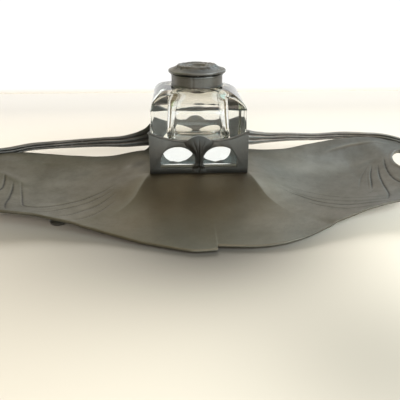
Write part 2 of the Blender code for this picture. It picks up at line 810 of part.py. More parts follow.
def build_hinge(look, bottle_parent, lid_parent):
    """Fixed leaf on the collar with two knuckles, moving leaf on the lid with one, and the pin."""
    step = KNUCKLE_LENGTH + GAP
    inner = COLLAR_RADIUS + 0.1 * MM + GAP
    fixed = hinge_leaf(
        "hinge_fixed_leaf",
        (-step, step),
        (inner, COLLAR_BOTTOM + 1.6 * MM),
        (inner + 1.1 * MM, HINGE_Z - 1.0 * MM),
        PIN_RADIUS + 0.05 * MM,
        look,
        bottle_parent,
    )
    for k, offset in enumerate((-step, step)):
        arm = box(
            f"hinge_fixed_arm_{k}",
            (offset - KNUCKLE_LENGTH / 2, inner, HINGE_Z - 2.6 * MM),
            (offset + KNUCKLE_LENGTH / 2, HINGE_Y, HINGE_Z - 1.0 * MM),
            look,
            bottle_parent,
        )
        boolean(fixed, arm, "UNION")
    pin = cylinder_x(
        "hinge_pin", PIN_RADIUS, 3 * step + 0.8 * MM, (0, HINGE_Y, HINGE_Z), look, bottle_parent
    )
    return fixed, pin


def build_lid(look, parent):
    """Turned lid with a rolled rim, a coned crown and a dished top; hollow underneath."""
    base = COLLAR_TOP + GAP
    top = base + LID_HEIGHT
    lid = capped(
        "lid",
        [
            (0.0, top - 0.7 * MM),
            (4.0 * MM, top - 0.8 * MM),
            (8.0 * MM, top - 0.6 * MM),
            (LID_CROWN_RADIUS - 1.0 * MM, top - 0.1 * MM),
            (LID_CROWN_RADIUS + 0.2 * MM, top - 0.3 * MM),
            (14.2 * MM, base + 3.5 * MM),
            (16.7 * MM, base + 2.4 * MM),
            (LID_RADIUS - 0.4 * MM, base + 2.1 * MM),
            (LID_RADIUS, base + 1.4 * MM),
            (LID_RADIUS - 0.4 * MM, base + 0.4 * MM),
            (LID_RADIUS - 1.2 * MM, base),
            (NECK_RADIUS - 0.4 * MM, base),
            (NECK_RADIUS - 0.4 * MM, base - 1.0 * MM),
            (NECK_RADIUS - 1.6 * MM, base - 1.0 * MM),
            (NECK_RADIUS - 1.6 * MM, base + 1.4 * MM),
            (8.0 * MM, base + 2.6 * MM),
            (0.0, base + 3.0 * MM),
        ],
        look,
        parent,
    )
    knuckle = cylinder_x(
        "lid_knuckle", HINGE_RADIUS, KNUCKLE_LENGTH, (0, HINGE_Y, HINGE_Z), look, parent
    )
    tongue = box(
        "lid_tongue",
        (-KNUCKLE_LENGTH / 2, LID_RADIUS - 3.0 * MM, HINGE_Z - 0.2 * MM),
        (KNUCKLE_LENGTH / 2, HINGE_Y, HINGE_Z + 1.4 * MM),
        look,
        parent,
    )
    bore = cylinder_x(
        "lid_bore", PIN_RADIUS + 0.05 * MM, 10 * MM, (0, HINGE_Y, HINGE_Z), look, parent
    )
    boolean(lid, tongue, "UNION")
    boolean(lid, knuckle, "UNION")
    boolean(lid, bore, "DIFFERENCE")
    return lid


# --- Feet -----------------------------------------------------------------------------------------
def build_foot(name, x, y, look, parent):
    """A pad foot whose top follows the tray's underside with a solder gap."""
    reach = 2.2
    around = [(reach * math.cos(a), reach * math.sin(a)) for a in np.arange(0, 2 * math.pi, math.pi / 4)]
    lowest = min(tray_height(x + dx, y + dy) for dx, dy in around + [(0, 0)])
    top = (lowest - SHEET / MM) * MM - 0.7 * GAP
    foot = capped(
        name,
        [
            (0.0, top),
            (reach * MM, top),
            (FOOT_RADIUS * 0.72, top * 0.72),
            (FOOT_RADIUS * 0.98, top * 0.45),
            (FOOT_RADIUS * 0.88, top * 0.16),
            (FOOT_RADIUS * 0.66, 0.0),
            (0.0, 0.0),
        ],
        look,
        parent,
        steps=20,
    )
    foot.location = (x * MM, y * MM, 0)
    return foot


def build_feet(look, parent):
    build_foot("foot_front_left", *TRAY_SIDES["left"]["foot"], look, parent)
    build_foot("foot_front_right", *TRAY_SIDES["right"]["foot"], look, parent)
    build_foot("foot_back_left", -BACK_FOOT[0], BACK_FOOT[1], look, parent)
    build_foot("foot_back_right", BACK_FOOT[0], BACK_FOOT[1], look, parent)


clear_scene()
PARTS = new_collection("inkstand")
CUTTERS = new_collection("inkstand_cutters")

pewter = material("pewter", (0.23, 0.23, 0.22), 0.42, 1.0)
glass = material("glass", (0.97, 0.98, 0.96), 0.02, 0.0, transmission=1.0)
plaster = material("plaster", (0.75, 0.72, 0.64), 0.9, 0.0)

stand = empty("stand", (GALLERY_X, GALLERY_Y, 0))
bottle_slide = empty("bottle_slide", (0, 0, DECK_Z + 0.5 * GAP), stand)
lid_axis = empty("lid_axis", (0, HINGE_Y, HINGE_Z), bottle_slide)
lid_frame = empty("lid_frame", (0, -HINGE_Y, -HINGE_Z), lid_axis)

build_tray(pewter, stand)
for side_name, tray_side in TRAY_SIDES.items():
    build_rail(side_name + "_rail", tray_side, pewter, stand)
build_gallery(pewter, stand)
build_feet(pewter, stand)
build_bottle(glass, bottle_slide)
build_collar(pewter, plaster, bottle_slide)
build_hinge(pewter, bottle_slide, lid_frame)
build_lid(pewter, lid_frame)
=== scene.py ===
"""Looks of the pewter inkstand: cast tray with engraved lines, ribbed rails, openwork gallery, thick
glass bottle and relief lid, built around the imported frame.  Lengths are millimetres round the
gallery's middle until a mesh is made, and metres in the frame afterwards."""

import math

import bmesh
import bpy
import numpy as np
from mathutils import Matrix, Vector


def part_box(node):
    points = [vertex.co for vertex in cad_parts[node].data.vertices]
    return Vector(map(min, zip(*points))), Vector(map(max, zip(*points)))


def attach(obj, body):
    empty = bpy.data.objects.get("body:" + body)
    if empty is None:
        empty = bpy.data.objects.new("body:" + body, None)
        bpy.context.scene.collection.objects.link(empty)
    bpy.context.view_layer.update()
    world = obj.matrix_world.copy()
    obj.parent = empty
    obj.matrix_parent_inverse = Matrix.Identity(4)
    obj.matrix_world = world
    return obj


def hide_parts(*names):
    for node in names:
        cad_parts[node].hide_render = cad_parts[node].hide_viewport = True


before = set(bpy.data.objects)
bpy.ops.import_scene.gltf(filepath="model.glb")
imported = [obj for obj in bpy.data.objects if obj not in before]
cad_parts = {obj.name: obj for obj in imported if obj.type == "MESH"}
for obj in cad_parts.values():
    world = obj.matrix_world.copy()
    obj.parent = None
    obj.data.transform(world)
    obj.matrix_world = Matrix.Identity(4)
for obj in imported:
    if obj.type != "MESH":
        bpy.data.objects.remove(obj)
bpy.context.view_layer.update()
MM = 0.001

# --- Places taken from the frame ---------------------------------------------------------------
left_low, left_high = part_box("gallery_left")
right_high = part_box("gallery_right")[1]
front_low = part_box("gallery_front")[0]
bottle_low, bottle_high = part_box("bottle")
collar_low, collar_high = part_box("collar")
lid_low, lid_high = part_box("lid")
pin_low, pin_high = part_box("hinge_pin")
tray_low, tray_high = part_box("tray")

GALLERY = Vector(((left_low.x + right_high.x) / 2, (left_low.y + left_high.y) / 2, 0))
SEAT = 0.15                                    # solder gap under the gallery and the bottle
DECK = front_low.z / MM - SEAT
HALF = (right_high.x - left_low.x) / 2 / MM    # half the gallery's width
WALL = (left_high.x - left_low.x) / MM
TIPS = {-1: (GALLERY.x - tray_low.x) / MM, 1: (tray_high.x - GALLERY.x) / MM}
BASE_RISE = (bottle_low.z - front_low.z) / MM  # bottle's base above the gallery's base
SHEET = 1.8


def at_gallery(points):
    """Points in millimetres round the gallery's middle, as metres in the frame."""
    return np.asarray(points, float) * MM + np.array(GALLERY)


# --- Mesh helpers --------------------------------------------------------------------------------
def grid_faces(rows, columns, close_rows=False, close_columns=False):
    """Quads between the points of a grid, which can close on itself in both directions."""
    r = np.arange(rows if close_rows else rows - 1)
    c = np.arange(columns if close_columns else columns - 1)
    r, c = np.meshgrid(r, c, indexing="ij")
    r2, c2 = (r + 1) % rows, (c + 1) % columns
    quads = np.stack([r * columns + c, r * columns + c2, r2 * columns + c2, r2 * columns + c], -1)
    return quads.reshape(-1, 4)


def shell(points, rings, size, closed=False):
    """A tube of rings: its points, its quads and, unless it closes on itself, its two end caps."""
    caps = () if closed else (range(size), range((rings - 1) * size, rings * size))
    return points, grid_faces(rings, size, closed, True), caps


def full_turn(steps):
    return np.linspace(0, 2 * np.pi, steps, endpoint=False)


def face_outwards(mesh, merge_distance=0):
    shape = bmesh.new()
    shape.from_mesh(mesh)
    if merge_distance:
        bmesh.ops.remove_doubles(shape, verts=shape.verts, dist=merge_distance)
    bmesh.ops.recalc_face_normals(shape, faces=shape.faces)
    shape.to_mesh(mesh)
    shape.free()


def shade(obj, sharp_angle):
    """Smooth shading; edges that bend by more than the angle, in degrees, stay sharp."""
    obj.data.shade_smooth()
    obj.data.set_sharp_from_angle(angle=math.radians(sharp_angle))


def make_mesh(name, points, quads, caps=(), sharp_angle=180):
    """An object from points in the frame, facing outwards."""
    mesh = bpy.data.meshes.new(name)
    faces = [tuple(int(i) for i in f) for f in quads] + [tuple(f) for f in caps]
    mesh.from_pydata([tuple(p) for p in points], [], faces)
    mesh.validate()
    face_outwards(mesh)
    made = bpy.data.objects.new(name, mesh)
    shade(made, sharp_angle)
    bpy.context.scene.collection.objects.link(made)
    return made


def model(name, parts, sharp_angle=180):
    """An object from a shell in millimetres round the gallery's middle."""
    points, quads, caps = parts
    return make_mesh(name, at_gallery(points), quads, caps, sharp_angle)


def joined(name, shells):
    """One object from several shells."""
    faces, start = [], 0
    for points, quads, caps in shells:
        for face in [*quads, *caps]:
            faces.append(tuple(int(i) + start for i in face))
        start += len(points)
    return model(name, (np.concatenate([points for points, _, _ in shells]), faces, ()), 40)


def evaluated_mesh(obj):
    graph = bpy.context.evaluated_depsgraph_get()
    return bpy.data.meshes.new_from_object(obj.evaluated_get(graph))


def apply_modifiers(obj):
    mesh = evaluated_mesh(obj)
    obj.modifiers.clear()
    obj.data = mesh


def dress(obj, look):
    obj.data.materials.clear()
    obj.data.materials.append(look)


def place(obj, body, look, *nodes, slot="pewter"):
    """Gives a piece its material, its body and the CAD nodes that it stands for."""
    dress(obj, look)
    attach(obj, body)
    if nodes:
        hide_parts(*nodes)


def points_of(obj):
    """The points of a piece in millimetres round the gallery's middle."""
    points = np.empty(len(obj.data.vertices) * 3)
    obj.data.vertices.foreach_get("co", points)
    return (points.reshape(-1, 3) - np.array(GALLERY)) / MM


def store_marks(obj, marks):
    """Stores numbers for each point of a piece, for its material: tarnish with painted shade, painted
    shade in a hollow, and painted highlight with wear.
    """
    for name, values in marks.items():
        mark = obj.data.attributes.new(name, "FLOAT", "POINT")
        mark.data.foreach_set("value", np.clip(values, 0, 1).ravel())


# --- Curves through stations ---------------------------------------------------------------------
def hermite(x, y, slopes, at):
    """Cubic curve with the given slopes at its stations."""
    i = np.clip(np.searchsorted(x, at, side="right") - 1, 0, len(x) - 2)
    width = x[i + 1] - x[i]
    t = (at - x[i]) / width
    return (
        y[i] * (2 * t**3 - 3 * t**2 + 1)
        + slopes[i] * width * (t**3 - 2 * t**2 + t)
        + y[i + 1] * (3 * t**2 - 2 * t**3)
        + slopes[i + 1] * width * (t**3 - t**2)
    )


def through(stations, values, at):
    """Smooth monotone curve through the stations."""
    x, y = np.asarray(stations, float), np.asarray(values, float)
    steps = np.diff(y) / np.diff(x)
    slopes = np.zeros_like(y)
    slopes[0], slopes[-1] = steps[0], steps[-1]
    for i in range(1, len(y) - 1):
        if steps[i - 1] * steps[i] > 0:
            slopes[i] = 2 * steps[i - 1] * steps[i] / (steps[i - 1] + steps[i])
    return hermite(x, y, slopes, np.clip(np.asarray(at, float), x[0], x[-1]))


def flowing(stations, values, at):
    """Smooth curve through the stations that may swing past them."""
    x, y = np.asarray(stations, float), np.asarray(values, float)
    return hermite(x, y, np.gradient(y, x), np.asarray(at, float))


def smoothstep(low, high, at):
    t = np.clip((np.asarray(at, float) - low) / (high - low), 0, 1)
    return t * t * (3 - 2 * t)


def bell(distance, width):
    """1 at no distance, fading out over the width."""
    return np.exp(-((distance / width) ** 2))


def lengths_along(points):
    return np.r_[0, np.cumsum(np.linalg.norm(np.diff(points, axis=0), axis=1))]


def flow_line(points, spacing=0.5):
    """A smooth dense polyline through a few plan points, with each point's share of its length."""
    points = np.asarray(points, float)
    lengths = lengths_along(points)
    at = np.linspace(0, lengths[-1], max(8, int(lengths[-1] / spacing)))
    line = np.stack([flowing(lengths, points[:, k], at) for k in range(points.shape[1])], 1)
    return line, at / lengths[-1]


# --- Tray: the same outline and heights as the solid -------------------------------------------
# A side's curves are sampled at the stations, which are distances out from the gallery's middle.
# front_edge is (x, y) pairs, and rail is (x, y, z, half height).
STATIONS = (31, 45, 62, 80, 100, 112, 124, 146)
SIDES = {
    -1: {
        "end_start": 98,
        "back_y": (19, 18, 18, 18, 17.5, 16.5, 16, 16),
        "front_edge": (
            (-6, -108.9), (0, -109.6), (4.5, -109.9), (11, -108.4), (20, -105.2), (31, -101.3),
            (45, -95.2), (62, -88.6), (80, -83.2), (90, -80.6), (100, -80.5), (112, -80),
            (124, -78.5), (146, -76),
        ),
        "back_z": (12.6, 9.6, 7.9, 8.6, 10.3, 12, 13.7, 15.8),
        "valley_z": (5.5, 5.2, 5, 5, 6.2, 9.5, 13.2, 15.8),
        "front_z": (4.2, 5.2, 7, 9, 11.6, 13, 14.4, 15.8),
        "rail": (
            (31, 26.8, 21.6, 9.2),
            (35.5, 27.4, 19, 6.9),
            (40.5, 28, 17.4, 5.7),
            (49, 28.2, 15.8, 4.6),
            (68, 28.3, 15.1, 3.5),
            (88, 28, 14.3, 3.1),
            (103, 25, 14.4, 2.8),
            (116, 19.4, 15, 2.7),
        ),
        "end_shares": (0.6, 0.76, 0.88, 0.955, 0.99),
    },
    1: {
        "end_start": 104,
        "back_y": (19, 18, 18, 19, 20, 20, 20, 20),
        "front_edge": (
            (6, -105.2), (15, -106.1), (24, -106.7), (31, -106.4), (38.5, -105.2), (45, -103.2),
            (54, -99.4), (62, -94.9), (70, -90.2), (80, -85.6), (90, -81), (100, -78.5),
            (112, -77), (124, -76), (146, -74),
        ),
        "back_z": (12.6, 11.2, 12.1, 15.1, 18.1, 19.3, 20.4, 20.8),
        "valley_z": (5.5, 5.2, 5, 5.2, 7, 11, 16.8, 20),
        "front_z": (4.2, 5, 6.8, 9, 12, 13.8, 15.8, 19),
        "rail": (
            (31, 26.8, 21.4, 9),
            (34.5, 27.4, 18.6, 6.2),
            (39, 28, 17.4, 5.6),
            (48, 28.2, 17, 4.3),
            (68, 28.3, 17.4, 3.1),
            (88, 28, 17.3, 2.7),
            (106, 26, 18.6, 2.8),
        ),
        "end_shares": (0.42, 0.6, 0.76, 0.88, 0.955, 0.99),
    },
}
DECK_HALF = HALF + 0.6
CORNER_Y = 33.0                # back edge behind the gallery
VALLEY_SHARE = 0.52            # the wing's lowest line, as a share of the way from back to front
SCOOP_LENGTH, SCOOP_Z = 80.0, 3.3
END_MIDDLE_Y = -28.0
END_POWER = 2.8
NOTCH_X = 6.0
LOOP_CENTRE = (-10.7, -30.0)
LOOP_RADII = (8.0, 19.0)
RIDGE_TURN = 0.25              # where the ridges turn outwards, as a share of the scoop
RIDGE_SHARPNESS = 2.6          # how suddenly the scoop turns up to the ridges beside it
BEAD_WIDTH, BEAD_RISE = 2.4, 0.6
EDGE_RADIUS = 0.85
COLUMN_SPANS = ((0, 30, 1.3), (30, 46, 0.5), (46, 92, 0.64), (92, 124, 0.42))     # from, to, step
TOP_ROWS, UNDER_ROWS = (40, 108), (8, 14)      # behind and in front of the split
LINE_REACH = 9                 # a plan line acts on the surface this far away
GROOVE_DEPTH = 0.6             # share of the drawn depth that is cut into the surface


def by_side(x, key):
    """A side's curve at x, each point taking its own side's values."""
    left, right = (through(STATIONS, SIDES[sign][key], np.abs(x)) for sign in (-1, 1))
    return np.where(x < 0, left, right)


def tray_edges(x):
    """Back and front edge of the tray at x."""
    x = np.asarray(x, float)
    out = np.abs(x)
    back = by_side(x, "back_y")
    back = back + (CORNER_Y - back) * (1 - smoothstep(30.8, 37.0, out))
    left_edge = through(*zip(*SIDES[-1]["front_edge"]), -x)
    right_edge = through(*zip(*SIDES[1]["front_edge"]), x)
    front = np.where(x < NOTCH_X, left_edge, right_edge)
    start = np.where(x < 0, SIDES[-1]["end_start"], SIDES[1]["end_start"])
    tip = np.where(x < 0, TIPS[-1], TIPS[1])
    end = np.clip((out - start) / (tip - start), 0, 1)
    closing = np.sqrt(np.maximum(0, 1 - end**END_POWER))
    return tuple(END_MIDDLE_Y + (edge - END_MIDDLE_Y) * closing for edge in (back, front))


def wing_height(x, y):
    back, front = tray_edges(x)
    across = np.clip((back - y) / np.maximum(back - front, 1e-6), 0, 1)
    valley = by_side(x, "valley_z")
    up_back = np.maximum(0, 1 - across / VALLEY_SHARE) ** 2.4
    up_front = np.maximum(0, (across - VALLEY_SHARE) / (1 - VALLEY_SHARE)) ** 2.2
    behind = valley + (by_side(x, "back_z") - valley) * up_back
    ahead = valley + (by_side(x, "front_z") - valley) * up_front
    return np.where(across < VALLEY_SHARE, behind, ahead)


def deck_and_wing(x, y):
    """The flat deck under the gallery, falling away to the wings."""
    dx = np.maximum(np.abs(x) - DECK_HALF, 0)
    dy = np.maximum(np.abs(y) - DECK_HALF, 0)
    wing = wing_height(x, y)
    return wing + (DECK - wing) * bell(np.hypot(dx * 1.25, dy), 25.0)


def scoop_share(y):
    """0 at the gallery's front, 1 at the far end of the scoop before it."""
    return np.clip((-DECK_HALF - y) / SCOOP_LENGTH, 0, 1)


def ridge_at(forward):
    """How far from the middle the ridge beside the scoop runs: straight at first, then flaring."""
    straight = 31.0 + 24.0 * forward
    flaring = 37.0 + 60.0 * np.maximum(forward - RIDGE_TURN, 0) ** 1.3
    return np.where(forward < RIDGE_TURN, straight, flaring)


def tray_height(x, y):
    """Top of the tray without its relief, with the ridges beside the front scoop rounded off."""
    wing = deck_and_wing(x, y)
    forward = scoop_share(y)
    ridge = ridge_at(forward)
    centre = SCOOP_Z + (DECK - SCOOP_Z) * (1 - forward) ** 4.2
    along = deck_and_wing(np.where(x < 0, -ridge, ridge), y)
    apron = centre + (along - centre) * (np.abs(x) / ridge) ** RIDGE_SHARPNESS
    blend = 0.02 + 1.2 * forward**1.5
    outside = np.abs(x) - ridge
    gap = np.clip(1 - np.abs(wing - apron) / (4 * blend), 0, 1) * (1 - smoothstep(3, 12, outside))
    surface = np.where(outside < 0, np.minimum(wing, apron), wing)
    return np.where(forward > 0, surface - blend * gap**2, wing)


# --- Relief of the tray: lines as (plan points, depth, half width), folds as (points, rise, width) ---
GROOVES = {
    1: [
        ([(112.4, -20.5), (108.2, -31), (104.8, -42.7), (102.3, -50.6)], 0.75, 0.55),
        ([(110.2, -21.5), (105.9, -32), (102.6, -43), (100.3, -50.2)], 0.35, 0.45),
        ([(97.6, -54.6), (99.4, -55.6), (101.8, -53.2)], 0.4, 0.5),
        ([(115.6, -22.6), (111.9, -36), (109.6, -47.8), (107.9, -58.4), (106.4, -65), (102.6, -72.8)],
         0.75, 0.6),
        ([(121, -17.5), (117.9, -29.5), (116.3, -41), (116.2, -50), (117.6, -58)], 0.7, 0.6),
        ([(111.2, -17.6), (106.2, -24.6), (102.7, -30.5), (99.2, -38.4), (96.4, -46)], 0.4, 0.5),
        ([(44, -38.5), (56.4, -48.6), (68.6, -56.8), (80.4, -62.6), (92, -67.5), (104, -72)],
         0.5, 0.5),
        ([(47.6, -43.6), (57.8, -52.4), (69.2, -62.8), (82, -69.6), (94.4, -73.2), (104, -76)],
         0.6, 0.55),
        ([(53.4, -39.5), (67.2, -48.2), (79.6, -55.8), (92.2, -61.5), (106, -67.6)], 0.45, 0.5),
        ([(59.4, -59.5), (68.6, -68.5), (78.4, -75), (88.6, -78), (97, -79.3)], 0.5, 0.5),
        ([(50.4, -36), (57.8, -41.6), (65, -45.8)], 0.3, 0.45),
        ([(45.5, -35), (51.5, -40.5), (58.8, -45.4)], 0.3, 0.45),
    ],
    -1: [
        ([(-108.6, -32.6), (-105.9, -42), (-102.6, -53), (-100, -61.6), (-97.6, -66.9),
          (-93, -68), (-86.8, -66.2), (-80.6, -62.4), (-73.6, -57.2), (-66.8, -51.2),
          (-60.6, -44.8), (-55.4, -39.4), (-51.5, -34.6)], 0.65, 0.55),
        ([(-86.6, -77.6), (-79.3, -70.3), (-72.3, -64.4), (-65, -57.6), (-59, -50.6), (-51.8, -42.2)],
         0.6, 0.5),
        ([(-90.4, -75), (-83.6, -70.4), (-77.4, -65.6)], 0.35, 0.45),
        ([(-78.3, -82.4), (-70.4, -75.4), (-65.4, -69), (-59.3, -62), (-54.8, -54.8), (-50.2, -47)],
         0.6, 0.5),
        ([(-66.8, -72.5), (-61.2, -66.6), (-56.4, -60), (-52.4, -54.2)], 0.4, 0.45),
        ([(-68.7, -85.4), (-61.9, -78), (-57, -71.2), (-53.4, -64.4), (-49.6, -57.4)], 0.55, 0.5),
        ([(-112.6, -34.6), (-110.4, -45), (-108.6, -56.7), (-106.2, -71.6), (-104, -77)],
         0.75, 0.6),
        ([(-119.4, -27.5), (-117, -37.7), (-115.8, -45.2), (-116.6, -54)], 0.7, 0.6),
    ],
}
FOLDS = {
    1: [
        ([(86, 6), (93, 9.6), (101, 11.4), (109, 12), (117, 10.4), (125, 6.6), (131, 0.6)],
         0.5, 1.3),
        ([(101, -14), (108, -13.5), (114, -12.6), (120, -11.4)], 0.5, 3),
    ],
    -1: [
        ([(-78, 2), (-90, 3.6), (-103, 3), (-114, 0.2), (-123, -5), (-130, -11.5)],
         0.35, 2.8),
        ([(-102, -33.6), (-108.7, -31.8), (-117, -28.6), (-124, -24.6)], 0.6, 3.2),
    ],
}
SEAM = [(NOTCH_X, -112), (4.2, -102), (1.6, -91), (-2.6, -80), (-6, -72)]


def line_field(x, y, points):
    """How far each place is from a plan line, the same with a sign for the side, and how far along."""
    line, share = flow_line(points)
    near = np.full(x.shape, True)
    for place_at, line_at in ((x, line[:, 0]), (y, line[:, 1])):
        near &= (place_at > line_at.min() - LINE_REACH) & (place_at < line_at.max() + LINE_REACH)
    px, py = x[near], y[near]
    best = np.full(px.shape, np.inf)
    pick = np.zeros(px.shape, int)
    for k, (lx, ly) in enumerate(line):
        here = (px - lx) ** 2 + (py - ly) ** 2
        closer = here < best
        best[closer] = here[closer]
        pick[closer] = k
    tangent = np.gradient(line, axis=0)[pick]
    cross = tangent[:, 0] * (py - line[pick, 1]) - tangent[:, 1] * (px - line[pick, 0])
    distance = np.full(x.shape, 99.0)
    offset, along = np.zeros(x.shape), np.zeros(x.shape)
    distance[near] = np.sqrt(best)
    offset[near] = distance[near] * np.sign(cross)
    along[near] = share[pick]
    return distance, offset, along


def stroke_taper(along):
    """Fades an engraved line out near both of its ends."""
    return np.sqrt(np.clip(np.sin(np.pi * np.clip(along, 0.02, 0.98)) * 1.6, 0, 1))


def tray_relief(x, y):
    """Engraved strokes with a raised burr along one side, soft folds, the seam and cast ripple."""
    rise = np.zeros(x.shape)
    for sign in (-1, 1):
        for points, depth, width in GROOVES[sign]:
            distance, offset, along = line_field(x, y, points)
            taper = stroke_taper(along)
            rise -= GROOVE_DEPTH * depth * taper * bell(distance, width)
            rise += 0.12 * depth * taper * bell(offset * sign - 1.4 * width - 0.4, 0.6)
        for points, height, width in FOLDS[sign]:
            _, offset, along = line_field(x, y, points)
            offset = offset * sign
            taper = np.clip(np.sin(np.pi * np.clip(along, 0, 1)), 0, 1)
            rise += height * taper * bell(offset, np.where(offset > 0, width * 1.5, width * 0.8))
    distance, _, along = line_field(x, y, SEAM)
    rise -= 0.08 * (1 - along) * bell(distance, 0.7)
    ripple = np.sin(x * 0.21 + 1.3 * np.sin(y * 0.13))
    ripple *= np.sin(y * 0.17 + 0.9 * np.sin(x * 0.11))
    from_gallery = np.hypot(np.maximum(np.abs(x) - HALF, 0), np.maximum(np.abs(y) - HALF, 0))
    return rise + 0.10 * ripple * smoothstep(2, 10, from_gallery)


def grip_height(inward):
    """Half height of a grip hole, which narrows towards its inner side."""
    return LOOP_RADII[1] * (1 - 0.15 * np.clip(inward, 0, 1))


def loop_distance(x, y, sign):
    """Distance outside a wing's grip hole, in millimetres."""
    u = sign * x - (TIPS[sign] + LOOP_CENTRE[0])
    v = y - LOOP_CENTRE[1]
    size = np.hypot(u / LOOP_RADII[0], v / grip_height(-u / LOOP_RADII[0]))
    radius = np.hypot(u, v) / np.maximum(size, 1e-6)
    return (size - 1) * radius


def tray_columns():
    """Places along the tray: closest where the engraving is and by the rounded tips."""
    sides = []
    for sign in (-1, 1):
        run = []
        for low, high, step in COLUMN_SPANS:
            run += list(np.linspace(low, high, round((high - low) / step), endpoint=False))
        turn = np.linspace(0, math.pi / 2, 46)
        run += list(high + (TIPS[sign] - high - 0.05) * np.sin(turn))
        sides.append(sign * np.array(run))
    columns = np.unique(np.round(np.concatenate(sides), 4))
    columns = columns[np.abs(columns - NOTCH_X) >= 0.3]
    return np.sort(np.r_[columns, NOTCH_X - 0.06, NOTCH_X + 0.06])


def edge_rows(length, counts):
    """Places across the tray: closest by the edges, which are rounded, and denser in the front part,
    where the engraving is.  counts are the rows behind and in front of the split."""
    near = np.array([0.0, 0.06, 0.16, 0.32, 0.55, 0.9])
    near = near * min(1.0, length / 4.0)
    low, high = near[-1], length - near[-1]
    middle = low + (high - low) * 0.36
    behind = np.linspace(low, middle, counts[0], endpoint=False)
    ahead = np.linspace(middle, high, counts[1])
    return np.r_[near[:-1], behind, ahead, length - near[:-1][::-1]]


def tray_shell():
    """Columns of points, each running forward over the top and back underneath."""
    columns = tray_columns()
    plan, drops = [], []
    for x, back, front in zip(columns, *tray_edges(columns)):
        length = max(back - front, 0.02)
        over = edge_rows(length, TOP_ROWS)
        run = np.r_[over, edge_rows(length, UNDER_ROWS)[::-1]]
        inward = np.maximum(EDGE_RADIUS - np.minimum(run, length - run), 0)
        drops.append(EDGE_RADIUS - np.sqrt(np.maximum(0, EDGE_RADIUS**2 - inward**2)))
        plan.append(np.stack([np.full(run.shape, x), back - run], 1))
    x, y = np.concatenate(plan).T
    drop = np.concatenate(drops)
    top = np.tile(np.arange(len(run)) < len(over), len(columns))
    relief = tray_relief(x[top], y[top])
    for sign in (-1, 1):
        distance = loop_distance(x[top], y[top], sign)
        on_bead = (sign * x[top] > 90) & (distance > -1) & (distance < BEAD_WIDTH)
        bead = BEAD_RISE * np.sin(np.pi * np.clip(distance / BEAD_WIDTH, 0, 1)) ** 1.2
        relief = relief * smoothstep(0, 2.5, np.maximum(distance, 0)) + bead * on_bead
    z = tray_height(x, y)
    z[top] += relief
    z = np.where(top, z - drop, z - SHEET + drop)
    return shell(np.stack([x, y, z], 1), len(columns), len(run))


def build_tray(look):
    tray = model("tray_cast", tray_shell())
    raise_plinth(tray)
    for sign in (-1, 1):
        cut_loop(tray, sign)
    shade(tray, 48)
    mark_surface(tray)
    place(tray, "stand", look, "tray")


# Round painted highlights and round spots of painted shade on the tray: centre, radii and strength.
PAINTED_HIGHLIGHTS = (
    ((70.0, -10.0), (18.0, 10.0), 0.9),
    ((90.0, -10.0), (14.0, 7.0), 0.5),
    ((-46.0, -9.0), (3.0, 3.5), 0.8),
)
PAINTED_SHADE_SPOTS = (
    ((-38.0, -9.0), (6.0, 9.0), 0.42),
    ((-34.0, -20.0), (5.0, 9.0), 0.32),
)


def with_spots(mark, x, y, spots):
    """A mark with round spots added: painted highlights on one mark, painted shade on the other."""
    for (mx, my), (rx, ry), strength in spots:
        spot = strength * np.exp(-(((x - mx) / rx) ** 2) - ((y - my) / ry) ** 2)
        mark = np.maximum(mark, spot)
    return mark


def mark_surface(tray):
    """Stores how deep in an engraved line each point lies, how far inside the scoop before the gallery,
    and how
    near the crest of the ridges beside it: the engraving's tarnish, painted shade in the scoop and painted
    highlights on the crests, with round spots of painted shade and painted highlight added."""
    x, y, _ = points_of(tray).T
    tarnish_and_shade = np.zeros(len(x))
    for points, depth, width in GROOVES[-1] + GROOVES[1]:
        distance, _, along = line_field(x, y, points)
        stroke = stroke_taper(along) * min(1.0, depth / 0.72) ** 2 * bell(distance, 0.75 * width)
        tarnish_and_shade = np.maximum(tarnish_and_shade, stroke)
    forward = scoop_share(y)
    outside = np.abs(x) - ridge_at(forward)
    fade = 1 - smoothstep(0.22, 0.62, forward)
    # Painted shade in the scoop before the gallery.
    scoop = smoothstep(0.3, -0.5, outside) * fade * (y < -HALF - 0.3)
    beyond = np.exp(-np.maximum(outside - 0.4, 0) / 3.5)
    slope = np.where(outside > 0.4, beyond, smoothstep(-0.4, 0.4, outside))
    # Painted highlight along the crests of the ridges beside the scoop, then along the right wing's upper
    # fold.
    crest = 0.7 * slope * fade * (y < -HALF + 2)
    distance, _, along = line_field(x, y, FOLDS[1][0][0])
    crest = np.maximum(crest, np.sin(np.pi * along) * bell(distance, 0.8))
    # Round spots of painted shade join the engraving's tarnish; round painted highlights join the crests.
    tarnish_and_shade = with_spots(tarnish_and_shade, x, y, PAINTED_SHADE_SPOTS)
    crest = with_spots(crest, x, y, PAINTED_HIGHLIGHTS)
    store_marks(tray, {"tarnish_and_shade": tarnish_and_shade, "scoop": scoop, "crest": crest})


def slab(name, half, low, high):
    """A square block round the gallery's middle."""
    corners = [(-half, -half), (half, -half), (half, half), (-half, half)]
    return model(name, shell([(x, y, z) for z in (low, high) for x, y in corners], 2, 4))


def combine(obj, other, operation):
    """Joins the other object to the piece, or cuts it out."""
    step = obj.modifiers.new(operation, "BOOLEAN")
    step.operation = operation
    step.solver = "EXACT"
    step.object = other
    apply_modifiers(obj)
    bpy.data.objects.remove(other)


def raise_plinth(tray):
    """The step that carries the bottle, hollow below."""
    half = HALF - WALL - 0.65
    top = DECK + BASE_RISE
    combine(tray, slab("step", half, DECK - 1, top), "UNION")
    combine(tray, slab("hollow", half - SHEET, 0, top - SHEET), "DIFFERENCE")


